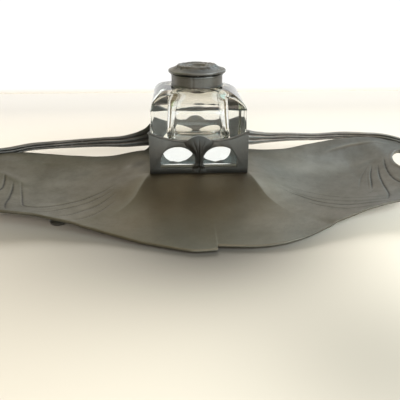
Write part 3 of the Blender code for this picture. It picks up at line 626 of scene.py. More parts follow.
def cut_loop(tray, sign):
    """Opens the grip hole in one wing."""
    angle = full_turn(96)
    x = sign * (TIPS[sign] + LOOP_CENTRE[0] + LOOP_RADII[0] * np.cos(angle))
    y = np.sin(angle) * grip_height(-np.cos(angle)) + LOOP_CENTRE[1]
    rings = [np.stack([x, y, np.full(x.shape, z)], 1) for z in (-5.0, 40.0)]
    combine(tray, model("loop_cutter", shell(np.concatenate(rings), 2, len(angle))), "DIFFERENCE")


# --- Rails -----------------------------------------------------------------------------------------
RAIL_HALF = 1.5
RAIL_LEAN = math.radians(40)


def end_station(sign, share, edge, fade, lean):
    """A rail's place by the wing's end, at a share of the way from end_start to the tip, inside its
    back edge (0) or its front edge (1)."""
    start, tip = SIDES[sign]["end_start"], TIPS[sign]
    half, height = RAIL_HALF * fade, 2.7 * fade
    clear = half * math.cos(lean) + 0.75 * height * math.sin(lean) + 0.1
    x = start + (tip - start) * share
    x0, x1 = x - 0.4, min(x + 0.4, tip - 0.01)
    here = np.array([x, tray_edges(np.array([sign * x]))[edge][0]])
    run = tray_edges(sign * np.array([x0, x1]))[edge]
    along = np.array([x1 - x0, run[1] - run[0]])
    along /= np.linalg.norm(along)
    normal = np.array([-along[1], along[0]]) * (-1 if edge else 1)
    rail_x, rail_y = here + normal * clear
    inner_y = here[1] + (END_MIDDLE_Y - here[1]) * 0.08
    level = float(wing_height(np.array([sign * x]), np.array([inner_y]))[0])
    return rail_x, rail_y, level + 0.4, height, half, lean


def rail_stations(sign):
    """Place, half height, half thickness and lean of the rail, out along the back and round the end."""
    side = SIDES[sign]
    stations = [(x, y, z, height, RAIL_HALF, 0.0) for x, y, z, height in side["rail"]]
    shares = [(share, 0) for share in side["end_shares"]]
    shares += [(share, 1) for share in reversed(side["end_shares"])] + [(0.4, 1)]
    for k, (share, edge) in enumerate(shares):
        fade = 1 - 0.6 * (k / (len(shares) - 1)) ** 2
        lean = RAIL_LEAN * min(1.0, (k + 1) / 3)
        stations.append(end_station(sign, share, edge, fade, lean))
    return np.array(stations)


def build_rail(sign, look, samples=300, ribs=3, per_rib=12):
    """Sweeps a section with three rounded ribs and deep grooves between them on each face."""
    stations = rail_stations(sign)
    lengths = lengths_along(stations[:, :2])
    at = np.linspace(0, lengths[-1], samples)
    track = np.stack([flowing(lengths, stations[:, k], at) for k in range(6)], 1)
    tangent = np.gradient(track[:, :3], axis=0)
    outward = np.stack([-tangent[:, 1], tangent[:, 0], np.zeros(samples)], 1)
    outward /= np.linalg.norm(outward, axis=1)[:, None]
    upward = np.array([0.0, 0.0, 1.0])
    half_height, half_thick, lean = track[:, 3:4], track[:, 4:5], track[:, 5:6]
    across = outward * np.cos(lean) - upward * np.sin(lean)
    along = outward * np.sin(lean) + upward * np.cos(lean)
    level = np.linspace(-0.97, 0.97, ribs * per_rib + 1)[None, :]
    drift = 0.13 * np.sin(at / 23.0)[:, None]
    rib = np.abs(np.sin(np.pi * ribs * (level + 1 + drift) / 2)) ** 0.55
    face = (0.42 + 0.58 * rib) * np.sqrt(1 - np.abs(level) ** 5)
    rings = []
    for sense in (1, -1):
        out = (sense * half_thick * face)[:, :, None]
        up = (sense * level * half_height)[:, :, None]
        rings.append(track[:, None, :3] + across[:, None, :] * out + along[:, None, :] * up)
    ring = np.concatenate(rings, 1)
    ring[:, :, 0] *= sign
    name = "left_rail" if sign < 0 else "right_rail"
    rail = model(name + "_ribbed", shell(ring.reshape(-1, 3), samples, ring.shape[1]), 70)
    place(rail, "stand", look, name)


# --- Gallery ---------------------------------------------------------------------------------------
CORNER_RISE = 26.7
DIP_RISE = 21.3
CREST_RISE, CREST_HALF = 24.2, 7.6
SILL = 3.4
WINDOW_WIDTH, WINDOW_RISE, WINDOW_LEG, WINDOW_OFFSET = 21.0, 13.6, 4.8, 13.0


def panel_top(x):
    """Height of a panel's top edge: a crest in the middle, a dip each side of it, high corners."""
    out = np.abs(np.asarray(x, float))
    arch = np.cos(np.pi * np.clip(out / CREST_HALF, 0, 1) / 2) ** 2
    share = np.clip((out - 10.0) / (HALF - 10.0), 0, 1)
    crest = DIP_RISE + (CREST_RISE - DIP_RISE) * arch
    return np.where(out < CREST_HALF, crest, DIP_RISE + (CORNER_RISE - DIP_RISE) * share**1.8)


def window(middle):
    """Outline of an arched window."""
    half = WINDOW_WIDTH / 2
    arch = []
    for a in np.linspace(0, math.pi, 41):
        rise = WINDOW_LEG + (WINDOW_RISE - WINDOW_LEG) * math.sin(a)
        arch.append((middle + half * math.cos(a), SILL + rise))
    return arch + [(middle - half, SILL), (middle + half, SILL)]


def panel_shell(half_width):
    """A pierced panel standing in the XZ plane, its edges softened."""
    soft = 0.18
    curve = bpy.data.curves.new("panel", "CURVE")
    curve.dimensions = "2D"
    curve.fill_mode = "BOTH"
    curve.extrude = WALL / 2 - soft
    curve.bevel_depth = soft
    curve.bevel_resolution = 2
    curve.offset = -soft
    x = np.linspace(half_width, -half_width, 121)
    outline = [(-half_width, 0.0), (half_width, 0.0)] + list(zip(x, panel_top(x)))
    for loop in (outline, window(WINDOW_OFFSET), window(-WINDOW_OFFSET)):
        spline = curve.splines.new("POLY")
        spline.points.add(len(loop) - 1)
        for point, (px, pz) in zip(spline.points, loop):
            point.co = (px, pz, 0, 1)
        spline.use_cyclic_u = True
    holder = bpy.data.objects.new("panel", curve)
    bpy.context.scene.collection.objects.link(holder)
    mesh = evaluated_mesh(holder)
    bpy.data.objects.remove(holder)
    face_outwards(mesh, merge_distance=0.002)
    points = np.array([(v.co.x, -v.co.z, v.co.y) for v in mesh.vertices])
    return points, [tuple(p.vertices) for p in mesh.polygons], ()


def rim_shell(half_width):
    """A rolled moulding along the panel's top edge, thicker on the outside (-Y) face."""
    x = np.linspace(-half_width, half_width, 141)
    z = panel_top(x)
    tangent = np.stack([np.gradient(x), np.gradient(z)], 1)
    tangent /= np.linalg.norm(tangent, axis=1)[:, None]
    turn = full_turn(18)
    points = []
    for px, pz, (tx, tz) in zip(x, z, tangent):
        for a in turn:
            rise = -0.62 + math.sin(a) * 0.62
            y = -0.25 - math.cos(a) * (WALL / 2 + 0.35)
            points.append((px - tz * rise, y, pz + tx * rise))
    return shell(np.array(points), len(x), len(turn))


def boss_shell():
    """Tulip boss: a bud whose folds run together down a stem into a forked knot at the sill."""
    u, t = np.meshgrid(np.linspace(-1, 1, 81), np.linspace(0, 1, 91), indexing="ij")
    half_top, waist, foot_half = 9.0, 2.2, 4.5
    top_z = DIP_RISE - 0.9 + (CREST_RISE - DIP_RISE + 1.0) * np.cos(np.pi / 2 * u) ** 1.3
    neck = waist + (half_top - waist) * (1 - smoothstep(0.02, 0.56, t)) ** 1.15
    x = u * (neck + (foot_half - waist) * smoothstep(0.6, 1.0, t))
    z = top_z * (1 - t) + 0.9 * t
    dome = np.maximum(0, 1 - np.abs(u) ** 2.6) ** 0.6
    swell = 0.55 + 1.55 * np.sin(np.pi * np.clip(t * 1.15 + 0.12, 0, 1)) ** 0.8 * (1 - 0.35 * t)
    petals = 0.34 * np.abs(np.sin(2.5 * np.pi * u)) ** 0.7 * smoothstep(0.02, 0.2, t) * (1 - 0.3 * t)
    knot = 0.35 * bell(t - 0.8, 0.06) - 0.3 * bell(t - 0.9, 0.05)
    fork = -0.5 * bell(u, 0.22) * smoothstep(0.84, 0.95, t)
    cleft = -0.4 * bell(u, 0.08) * smoothstep(0.25, 0.5, t)
    proud = dome * (swell + petals + knot + fork + cleft)
    points = np.concatenate([
        np.stack([x, -proud, z], -1).reshape(-1, 3),
        np.stack([x, np.full(x.shape, 0.35), z], -1).reshape(-1, 3),
    ])
    points[:, 1] -= WALL / 2
    quads = grid_faces(*u.shape)
    index = np.arange(u.size).reshape(u.shape)
    border = np.r_[index[:, 0], index[-1, 1:], index[-2::-1, -1], index[0, -2:0:-1]]
    following = np.roll(border, -1)
    sides = np.stack([border, following, following + u.size, border + u.size], 1)
    return points, np.concatenate([quads, quads[:, ::-1] + u.size, sides]), ()


def leaf_shell(sign):
    """A small scroll leaf that runs from the boss along the panel's dip."""
    line, share = flow_line([(5.0, 19.3), (7.4, 20.6), (9.6, 20.6), (12.4, 20.1)], 0.25)
    turn = full_turn(14)
    points = []
    for (px, pz), s in zip(line, share):
        width = 0.95 * math.sin(math.pi * min(0.98, 0.25 + 0.75 * s)) + 0.12
        for a in turn:
            y = -0.62 * width * math.cos(a) - 0.1
            points.append((sign * (px + 0.1), y - WALL / 2, pz + width * math.sin(a) * 0.8))
    return shell(np.array(points), len(line), len(turn))


def turned_to(facing, points):
    """Stands panel points (outside towards -Y) on one side of the gallery."""
    x, y, z = points.T
    out = HALF - WALL / 2 - y
    z = z + DECK + SEAT
    sides = {"front": (x, -out, z), "back": (-x, out, z), "left": (-out, -x, z), "right": (out, x, z)}
    return np.stack(sides[facing], 1)


def build_gallery(look):
    """Front and back panels with a boss and two leaves, side panels without; each boss is darker."""
    for facing in ("front", "back", "left", "right"):
        has_boss = facing in ("front", "back")
        half_width = HALF if has_boss else HALF - WALL - SEAT
        shells = [panel_shell(half_width), rim_shell(half_width)]
        if has_boss:
            shells += [boss_shell(), leaf_shell(-1), leaf_shell(1)]
        turned = [(turned_to(facing, points), quads, caps) for points, quads, caps in shells]
        panel = joined(f"gallery_{facing}_pierced", turned)
        place(panel, "stand", look, "gallery_" + facing)
        plan = np.abs(points_of(panel))[:, :2]
        on_boss = (plan.max(1) > HALF + 0.05) * (plan.min(1) < 9.3)
        store_marks(panel, {"tarnish_and_shade": 0.34 * on_boss})


# --- Bottle ----------------------------------------------------------------------------------------
BOTTLE_HALF = (bottle_high.x - bottle_low.x) / 2 / MM
BODY_RISE, SHOULDER_RISE = 39.6, 48.1           # heights above the gallery's base
NECK_RISE = (bottle_high.z - front_low.z) / MM
NECK_RADIUS, NECK_BORE = 13.6, 10.5
CORNER_STEPS = 20
WELL = (                                        # half width, corner radius and height down the well
    (13.2, 11.6, 43.6), (16.2, 10.4, 41.4), (18.2, 9, 39), (18.8, 7.6, 36.2), (19, 6.8, 33),
    (19.3, 6.4, 29), (19.6, 6.2, 25), (19.4, 6, 21), (18.2, 6, 18), (16, 6, 16),
    (13, 6, 14.9), (10, 6, 14.5), (7, 5, 14.4),
)


def square_loop(half, radius, z, wobble=0.0):
    """Rounded square; flats get points near their ends, so that they shade and refract as flats."""
    radius = min(radius, half)
    flat = half - radius
    inset = min(0.5, flat * 0.4)
    loop = []
    for corner in range(4):
        cx = flat * (1 if corner in (0, 3) else -1)
        cy = flat * (1 if corner in (0, 1) else -1)
        start = corner * math.pi / 2
        for k in range(CORNER_STEPS + 1):
            angle = start + k / CORNER_STEPS * math.pi / 2
            loop.append((cx + radius * math.cos(angle), cy + radius * math.sin(angle)))
        along = np.array([-math.sin(start + math.pi / 2), math.cos(start + math.pi / 2)])
        last = np.array(loop[-1])
        loop += [tuple(last + along * inset), tuple(last + along * (2 * flat - inset))]
    loop = np.array(loop)
    if wobble:
        angle = np.arctan2(loop[:, 1], loop[:, 0])
        swing = np.sin(3 * angle + 0.21 * z) + 0.6 * np.sin(5 * angle - 0.16 * z)
        loop *= (1 + wobble * swing / half)[:, None]
    return np.c_[loop, np.full(len(loop), z)]


def round_loop(radius, z):
    return square_loop(radius, radius, z)


def outer_loops():
    """The outside, from the middle of the base up to the mouth."""
    half, edge, foot = BOTTLE_HALF, 2.4, 0.8
    loops = []
    for share in (0.2, 0.6, 0.95):
        loops.append(square_loop((half - foot) * share, edge * share, BASE_RISE + 0.25 * (1 - share) ** 2))
    for turn in np.linspace(0, math.pi / 2, 7):
        out, up = foot * (1 - math.sin(turn)), foot * (1 - math.cos(turn))
        loops.append(square_loop(half - out, edge, BASE_RISE + up))
    loops.append(square_loop(half, edge, BASE_RISE + 1.4))
    for inset, below in ((0, 2.2), (0, 1.6), (0.05, 1.0), (0.2, 0.4)):
        loops.append(square_loop(half - inset, edge, BODY_RISE - below))
    rise = SHOULDER_RISE - BODY_RISE
    for share in np.linspace(0.0, 1.0, 26):
        size = half - 0.5 + (NECK_RADIUS + 0.7 - half + 0.5) * share
        loop = square_loop(size, edge + (size - edge) * share**2, 0.0)
        left = 0.5 - 0.5 * loop[:, 0] / size
        bulge = math.sin(math.pi / 2 * share) ** (0.75 - 0.3 * left)
        bulge += 0.1 * left * math.sin(math.pi * share)
        loop[:, 2] = BODY_RISE + 0.2 + (rise - 0.2) * bulge
        loops.append(loop)
    loops.append(round_loop(NECK_RADIUS + 0.2, SHOULDER_RISE + 0.12))
    loops.append(round_loop(NECK_RADIUS, SHOULDER_RISE + 0.4))
    loops.append(round_loop(NECK_RADIUS, NECK_RISE - 0.8))
    for turn in np.linspace(0.2, math.pi / 2, 5):
        inward, up = 0.6 * (1 - math.cos(turn)), 0.6 * math.sin(turn)
        loops.append(round_loop(NECK_RADIUS - inward, NECK_RISE - 0.6 + up))
    return loops


def inner_loops():
    """The well, from the mouth down: round bore, flowing out under the shoulder to a soft square."""
    loops = []
    for turn in np.linspace(math.pi / 2, 0, 5):
        outward, up = 0.5 * (1 - math.cos(turn)), 0.5 * math.sin(turn)
        loops.append(round_loop(NECK_BORE + outward, NECK_RISE - 0.5 + up))
    loops.append(round_loop(NECK_BORE, SHOULDER_RISE - 1.5))
    well = np.array(WELL)
    places = np.linspace(0, len(well) - 1, 42)
    track = [flowing(np.arange(len(well)), column, places) for column in well.T]
    for size, radius, z in zip(*track):
        loops.append(square_loop(size, radius, z, wobble=0.1))
    for share in (0.7, 0.4, 0.1):
        size = well[-1][0] * share
        loops.append(square_loop(size, min(6.0, size), well[-1][2] - 0.05))
    return loops


def build_bottle(look):
    loops = outer_loops() + inner_loops()
    points = np.concatenate(loops)
    points[:, 2] += DECK + SEAT
    bottle = model("glass_bottle", shell(points, len(loops), len(loops[0])), 30)
    bottle.visible_shadow = False          # light passes the clear glass to the gallery inside
    place(bottle, "bottle", look, "bottle", slot="glass")


# --- Turned pieces -----------------------------------------------------------------------------
LID_RIM = 18.1                                 # radius


def turned_grid(profile, steps):
    """Radius, angle and height at each point of a profile turned about the bottle's axis."""
    r, a = np.meshgrid(profile[:, 0], full_turn(steps), indexing="ij")
    return r, a, np.repeat(profile[:, 1:], steps, 1)


def turned_piece(name, r, a, z, closed):
    points = np.stack([r * np.cos(a), r * np.sin(a), z], -1).reshape(-1, 3)
    return model(name, shell(points, *r.shape, closed), 40)


def dense(profile, spacing=0.25):
    """Resamples a profile of (radius, height) corners to close points, keeping its corners."""
    profile = np.asarray(profile, float)
    out = []
    for a, b in zip(profile[:-1], profile[1:]):
        count = max(1, int(np.linalg.norm(b - a) / spacing))
        out += [a + (b - a) * k / count for k in range(count)]
    out.append(profile[-1])
    return np.array(out)


def build_collar(look):
    """Spun skirt with a beaded top, two seams, small dents and a worn, uneven lower edge."""
    bottom, top = collar_low.z / MM, collar_high.z / MM
    outer, inner = 16.3, NECK_RADIUS + 0.1
    wall = outer - 1.2
    profile = dense([
        (inner, top - 0.05), (outer - 0.7, top), (outer - 0.25, top - 0.12), (outer, top - 0.5),
        (outer, top - 0.9), (outer - 0.22, top - 1.15), (outer - 0.2, bottom + 1.3),
        (outer, bottom + 0.9), (outer + 0.25, bottom + 0.5), (outer + 0.1, bottom + 0.02),
        (wall + 0.2, bottom), (wall, bottom + 0.3), (wall, bottom + 5.8), (inner, bottom + 5.85),
        (inner, top - 0.05),
    ])[:-1]
    r, a, z = turned_grid(profile, 220)
    low = np.clip((bottom + 1.5 - z) / 1.5, 0, 1) * (r > wall + 0.1)
    nibble = 0.22 + 0.18 * np.sin(7 * a + 1.0) * np.sin(3 * a)
    nibble = nibble + 0.14 * np.sin(19 * a + 2) + 0.1 * np.sin(41 * a)
    dent = 0.08 * np.sin(5 * a + 0.7) + 0.05 * np.sin(9 * a + 2.1)
    seam = 0.22 * bell(a - 4.52, 0.035) + 0.16 * bell(a - 4.9, 0.03)
    r = r - (dent + seam) * (r > outer - 0.5) * 0.9
    place(turned_piece("collar_skirt", r, a, z + nibble * low, True), "bottle", look, "collar")


def crown_relief(r, a):
    """Rise of the lid's worn flower: radial folds in two clusters, petals and a whorl."""
    swirl = a + 0.35 * np.sin(r * 0.32) - 0.03 * r
    ribs = (np.abs(np.sin(9 * swirl)) ** 0.8 - 0.55) * (0.55 + 0.45 * np.cos(2 * a))
    band = smoothstep(5.6, 7.6, r) * (1 - smoothstep(13.6, 16.0, r))
    petal = (0.5 + 0.5 * np.cos(5 * swirl + 0.6)) * smoothstep(7, 11, r) * (1 - smoothstep(13.5, 16.2, r))
    whorl = np.sin(2 * a + r * 0.9) * smoothstep(0.6, 2.5, r) * (1 - smoothstep(3.8, 5.2, r))
    rim_wave = 0.06 * np.sin(6 * a + 1) * smoothstep(16.5, 17.6, r)
    return 0.5 * ribs * band - 0.12 * band + 0.3 * petal * band + 0.2 * whorl + rim_wave


def build_lid(look):
    """Lid with a rolled rim and a dished crown covered in a poppy-like relief of radial folds."""
    base = lid_low.z / MM + 1.0
    top = lid_high.z / MM
    rim, crown = LID_RIM, 11.0
    upper = dense([
        (0.05, top - 1.75), (3.0, top - 1.65), (4.9, top - 1.35), (5.9, top - 0.6), (6.8, top - 0.42),
        (9.0, top - 0.55), (crown - 0.6, top - 0.3), (crown + 0.2, top - 0.12), (crown + 1.0, top - 0.35),
        (13.0, base + 3.75), (15.2, base + 2.85), (16.4, base + 2.45), (16.9, base + 2.25),
        (rim - 0.7, base + 2.3), (rim - 0.2, base + 2.0), (rim, base + 1.4), (rim - 0.15, base + 0.8),
        (rim - 0.6, base + 0.35), (rim - 1.3, base + 0.05),
    ], 0.16)
    lower = dense([
        (rim - 1.3, base + 0.05), (13.3, base), (13.2, base - 0.95), (12.1, base - 1.0),
        (12.0, base + 1.3), (8.0, base + 2.5), (0.05, base + 2.9),
    ], 0.5)[1:]
    r, a, z = turned_grid(np.r_[upper, lower], 288)
    lift = crown_relief(r, a)
    lift[len(upper):] = 0
    lid = turned_piece("lid_relief", r, a, np.minimum(z + lift, top - 0.02), False)
    # Darker in the relief's hollows, with painted shade along the lid's lower rim.
    hollow = 0.45 * smoothstep(0.02, -0.22, lift) + 0.7 * smoothstep(base + 1.0, base + 0.2, z)
    # Lighter on the relief's raised tops, as wear, with a painted highlight band round the rim.
    crest = smoothstep(0.15, 0.5, lift) + 0.8 * bell(z - base - 2.0, 0.3) * (r > rim - 1.2)
    # Painted shade in the lid's dished centre.
    dish = smoothstep(6.2, 4.4, r) * (z > base + 2)
    store_marks(lid, {"tarnish_and_shade": hollow, "crest": crest, "scoop": dish})
    place(lid, "lid", look, "lid")


def build_lid_knuckle(look):
    """The lid's tongue and its knuckle round the hinge pin."""
    axis_y = (pin_low.y + pin_high.y) / 2 / MM - GALLERY.y / MM
    axis_z = (pin_low.z + pin_high.z) / 2 / MM
    bore, outer, half = 0.80, 1.7, 1.8
    section = [(outer, half - 0.15), (outer - 0.12, half), (bore + 0.1, half), (bore, half - 0.1)]
    loop = section + [(r, -x) for r, x in reversed(section)]
    turn = full_turn(48)
    knuckle = [(x, axis_y + r * math.cos(a), axis_z + r * math.sin(a)) for r, x in loop for a in turn]
    side = half - 0.05
    strap = []
    rim = LID_RIM
    for y, taper in ((rim - 2.4, 0.35), (rim - 1.8, 0.1), (rim + 0.4, 0.0), (axis_y - 1.05, 0.0)):
        low, high = axis_z - 0.35 + taper, axis_z + 1.35 - taper
        strap += [(-side, y, low), (side, y, low), (side, y, high), (-side, y, high)]
    made = joined("lid_knuckle", [
        shell(np.array(knuckle), len(loop), len(turn), True),
        shell(np.array(strap), 4, 4),
    ])
    bevel = made.modifiers.new("soften", "BEVEL")
    bevel.width = 0.12 * MM
    bevel.segments = 2
    bevel.limit_method = "ANGLE"
    apply_modifiers(made)
    shade(made, 35)
    place(made, "lid", look)


# --- Materials ---------------------------------------------------------------------------------
# Colour of the painted shade in the tray's scoop and the lid's dish.
SCOOP_SHADE = (0.112, 0.097, 0.066)
# Middle of the painted warm shade on the apron before the gallery.
APRON_SHADE_CENTRE = (GALLERY.x - 0.012, GALLERY.y - 0.055, 0.006)
SIDE_LIGHT_REACH = 0.11                              # how far out the painted light and shade of a piece's sides run


class Nodes:
    """Builds and links the shader nodes of a material or a world."""

    def __init__(self, owner, shader="Principled BSDF"):
        owner.use_nodes = True
        self.owner = owner
        self.tree = owner.node_tree
        self.shader = self.tree.nodes[shader]

    def feed(self, target, source):
        """Links a socket to an input, or gives the input a fixed number, vector or colour."""
        if isinstance(source, bpy.types.NodeSocket):
            self.tree.links.new(source, target)
        else:
            target.default_value = (*source, 1) if target.type == "RGBA" else source

    def add(self, kind, **settings):
        """A new node; settings are its inputs, with _ for a space, and its properties."""
        node = self.tree.nodes.new("ShaderNode" + kind)
        for key, value in settings.items():
            if key.replace("_", " ") in node.inputs:
                self.feed(node.inputs[key.replace("_", " ")], value)
            else:
                setattr(node, key, value)
        return node

    def finish(self, **inputs):
        """Feeds the inputs of the shader and returns the material."""
        for key, source in inputs.items():
            self.feed(self.shader.inputs[key.replace("_", " ")], source)
        return self.owner

    def where(self):
        return self.add("TexCoord").outputs["Object"]

    def axis(self, name):
        return self.add("SeparateXYZ", Vector=self.where()).outputs[name]

    def mark(self, name):
        """Numbers stored by store_marks."""
        return self.add("Attribute", attribute_name=name).outputs["Fac"]

    def noise(self, scale, detail, roughness, vector=None):
        """Cloudy noise, with the scale in features per metre."""
        node = self.add("TexNoise", Scale=scale, Detail=detail, Roughness=roughness)
        self.feed(node.inputs["Vector"], vector or self.where())
        return node.outputs["Fac"]

    def ramp(self, value, stops):
        node = self.add("ValToRGB", Fac=value)
        elements = node.color_ramp.elements
        while len(elements) < len(stops):
            elements.new(0.5)
        for element, (position, colour) in zip(elements, stops):
            element.position = position
            element.color = (*colour, 1)
        return node.outputs["Color"]

    def spread(self, value, low, high, to_low, to_high):
        """Maps the range from low to high to the range from to_low to to_high."""
        limits = {"From_Min": low, "From_Max": high, "To_Min": to_low, "To_Max": to_high}
        return self.add("MapRange", Value=value, **limits).outputs["Result"]

    def mix(self, factor, first, second, blend="MIX"):
        node = self.add("Mix", data_type="RGBA", blend_type=blend, Factor=factor)
        colours = [socket for socket in node.inputs if socket.type == "RGBA"]
        self.feed(colours[0], first)
        self.feed(colours[1], second)
        return [socket for socket in node.outputs if socket.type == "RGBA"][0]

    def math(self, operation, first, second):
        node = self.add("Math", operation=operation)
        self.feed(node.inputs[0], first)
        self.feed(node.inputs[1], second)
        return node.outputs["Value"]

    def bump(self, height, strength, distance, **normal):
        """A bumped normal, on top of the one in Normal if that is given."""
        node = self.add("Bump", Height=height, Strength=strength, Distance=distance, **normal)
        return node.outputs["Normal"]


def scaled(colour, factor):
    return tuple(c * factor for c in colour)


def pewter(name, dark, light, rough, cavity=0.5, brown=None, sides=None, foot_shade=None):
    """Patinated cast pewter: cloudy tarnish, rubbed edges, dark grooves, fine scratches and pitting,
    with painted highlights and painted shade from the stored marks.  rough is the range of roughness
    and cavity the darkness of hollows.  brown paints warm shade on the apron before the gallery and
    adds random brown stain patches, sides are painted light and shade from left to right, and the
    last argument is where a painted shade along a piece's foot starts and ends in height."""
    n = Nodes(bpy.data.materials.new(name))
    blotch = n.noise(110, 6, 0.65)
    speck = n.noise(900, 3, 0.6)
    tone = n.ramp(n.noise(28, 5, 0.6), [(0.34, dark), (0.66, light)])
    tone = n.mix(n.spread(blotch, 0.4, 0.7, 0.0, 0.45), tone, scaled(dark, 0.72))
    if brown:
        # Painted warm shade on the apron before the gallery, and random brown stain patches.
        away = n.add("VectorMath", operation="DISTANCE", Vector=n.where())
        n.feed(away.inputs[1], APRON_SHADE_CENTRE)
        centre = n.spread(away.outputs["Value"], 0.015, 0.075, 0.85, 0.0)
        patches = n.spread(n.noise(17, 4, 0.5), 0.45, 0.68, 0.0, 0.35)
        tone = n.mix(n.math("MINIMUM", n.math("ADD", patches, centre), 1.0), tone, brown)
    # Painted light and shade from side to side.
    if sides:
        share = n.spread(n.axis("X"), GALLERY.x - SIDE_LIGHT_REACH, GALLERY.x + SIDE_LIGHT_REACH, 0.0, 1.0)
        stops = [(k / (len(sides) - 1), tint) for k, tint in enumerate(sides)]
        tone = n.mix(1.0, tone, n.ramp(share, stops), "MULTIPLY")
    # Painted shade from the scoop mark.
    tone = n.mix(n.math("MULTIPLY", n.mark("scoop"), 0.45), tone, SCOOP_SHADE)
    # Painted highlights from the crest mark, with wear on the lid's relief.
    tone = n.mix(n.math("MULTIPLY", n.mark("crest"), 0.6), tone, scaled(light, 1.45))
    # Tarnish in the engraving, darker bosses and relief hollows, and painted shade: spots on the tray and
    # the lid's lower rim.
    tone = n.mix(n.spread(n.mark("tarnish_and_shade"), 0.1, 0.75, 0.0, 0.9), tone, scaled(dark, 0.2))
    # Painted shade along the foot of a piece.
    if foot_shade:
        low, high = (GALLERY.z + z * MM for z in foot_shade)
        tone = n.mix(n.spread(n.axis("Z"), low, high, 0.75, 0.0), tone, scaled(dark, 0.2))
    bend = n.add("NewGeometry").outputs["Pointiness"]
    worn = n.spread(bend, 0.515, 0.60, 0.0, 0.55)
    tone = n.mix(n.spread(bend, 0.40, 0.5, cavity, 0.0), tone, scaled(dark, 0.25))
    tone = n.mix(worn, tone, scaled(light, 1.9))
    tone = n.mix(n.spread(speck, 0.62, 0.75, 0.0, 0.35), tone, scaled(dark, 0.5))
    polish = n.math("MULTIPLY", worn, 0.15)
    roughness = n.math("SUBTRACT", n.spread(blotch, 0.3, 0.75, *rough), polish)
    stretch = n.add("Mapping", Vector=n.where(), Scale=(1.0, 9.0, 1.0), Rotation=(0.0, 0.0, 0.5))
    scratch = n.noise(420, 2, 0.5, stretch.outputs["Vector"])
    normal = n.bump(scratch, 0.10, 0.00010)
    normal = n.bump(speck, 0.16, 0.00012, Normal=normal)
    normal = n.bump(blotch, 0.20, 0.00035, Normal=normal)
    return n.finish(Base_Color=tone, Roughness=roughness, Metallic=1.0, Normal=normal)


def clear_glass():
    """Thick old glass: a faint grey-green body, slight waviness and a hazy shoulder, tinted darker as
    painted shade.
    """
    n = Nodes(bpy.data.materials.new("old_glass"))
    edge = (DECK + SEAT + BODY_RISE) * MM
    # Above the body the glass is tinted darker, as painted shade, and slightly rough, as haze.
    shoulder_haze_and_shade = n.spread(n.axis("Z"), edge, edge + 0.003, 0.0, 1.0)
    smear = n.spread(n.noise(160, 4, 0.6), 0.55, 0.8, 0.0, 0.035)
    volume = n.add("VolumeAbsorption", Color=(0.80, 0.88, 0.80), Density=3.0)
    n.feed(n.tree.nodes["Material Output"].inputs["Volume"], volume.outputs["Volume"])
    return n.finish(
        Base_Color=n.mix(shoulder_haze_and_shade, (0.985, 0.99, 0.975), (0.70, 0.675, 0.60)),
        Roughness=n.math("ADD", smear, n.math("MULTIPLY", shoulder_haze_and_shade, 0.06)),
        Normal=n.bump(n.noise(45, 2, 0.4), 0.12, 0.0006),
        Transmission_Weight=1.0,
        IOR=1.5,
    )


def chalky_plaster():
    n = Nodes(bpy.data.materials.new("plaster"))
    stain = n.noise(120, 4, 0.6)
    return n.finish(
        Base_Color=n.ramp(stain, [(0.3, (0.42, 0.38, 0.30)), (0.7, (0.78, 0.75, 0.68))]),
        Roughness=n.spread(stain, 0.3, 0.8, 0.75, 0.95),
        Normal=n.bump(n.noise(700, 5, 0.7), 0.5, 0.0003),
    )


# Where the floor falls off into shade round the stand: centre and radii from the gallery's middle,
# in millimetres, and how dark.
SHADES = (
    ((5.5, -94.3), (63.0, 52.6), 0.90),
    ((62.0, -191.0), (60.0, 60.5), 0.50),
    ((-60.0, -69.5), (92.5, 111.7), 0.56),
)
SHADE_COLOUR = (0.03296, 0.032, 0.0304)


def floor_paint():
    """Pale cream paint with a soft shade in front of the stand; the wall above the floor glows a
    little, like a lit studio backdrop."""
    n = Nodes(bpy.data.materials.new("pale_floor"))
    cloud = n.noise(3, 3, 0.5)
    tone = n.ramp(cloud, [(0.3, (0.80, 0.765, 0.71)), (0.7, (0.84, 0.805, 0.75))])
    for (x, y), (rx, ry), depth in SHADES:
        spot = n.add(
            "Mapping", vector_type="TEXTURE", Vector=n.where(),
            Location=(GALLERY.x + x * MM, GALLERY.y + y * MM, 0), Scale=(rx * MM, ry * MM, 1),
        )
        length = n.add("VectorMath", operation="LENGTH", Vector=spot.outputs["Vector"])
        squared = n.math("POWER", length.outputs["Value"], 2.0)
        fading = n.math("POWER", math.exp(-1), squared)
        tone = n.mix(n.math("MULTIPLY", fading, depth), tone, SHADE_COLOUR)
    wall = n.spread(n.axis("Z"), 0.0, 0.006, 0.0, 1.0)
    return n.finish(
        Base_Color=n.mix(wall, tone, (0.02, 0.02, 0.02)),
        Roughness=n.spread(cloud, 0.3, 0.7, 0.5, 0.6),
        Specular_IOR_Level=0.25,
        Emission_Color=(1.0, 1.0, 0.99),
        Emission_Strength=wall,
        # The sheet's faces look down and away, so from behind the wall is clear.
        Alpha=n.add("NewGeometry").outputs["Backfacing"],
    )


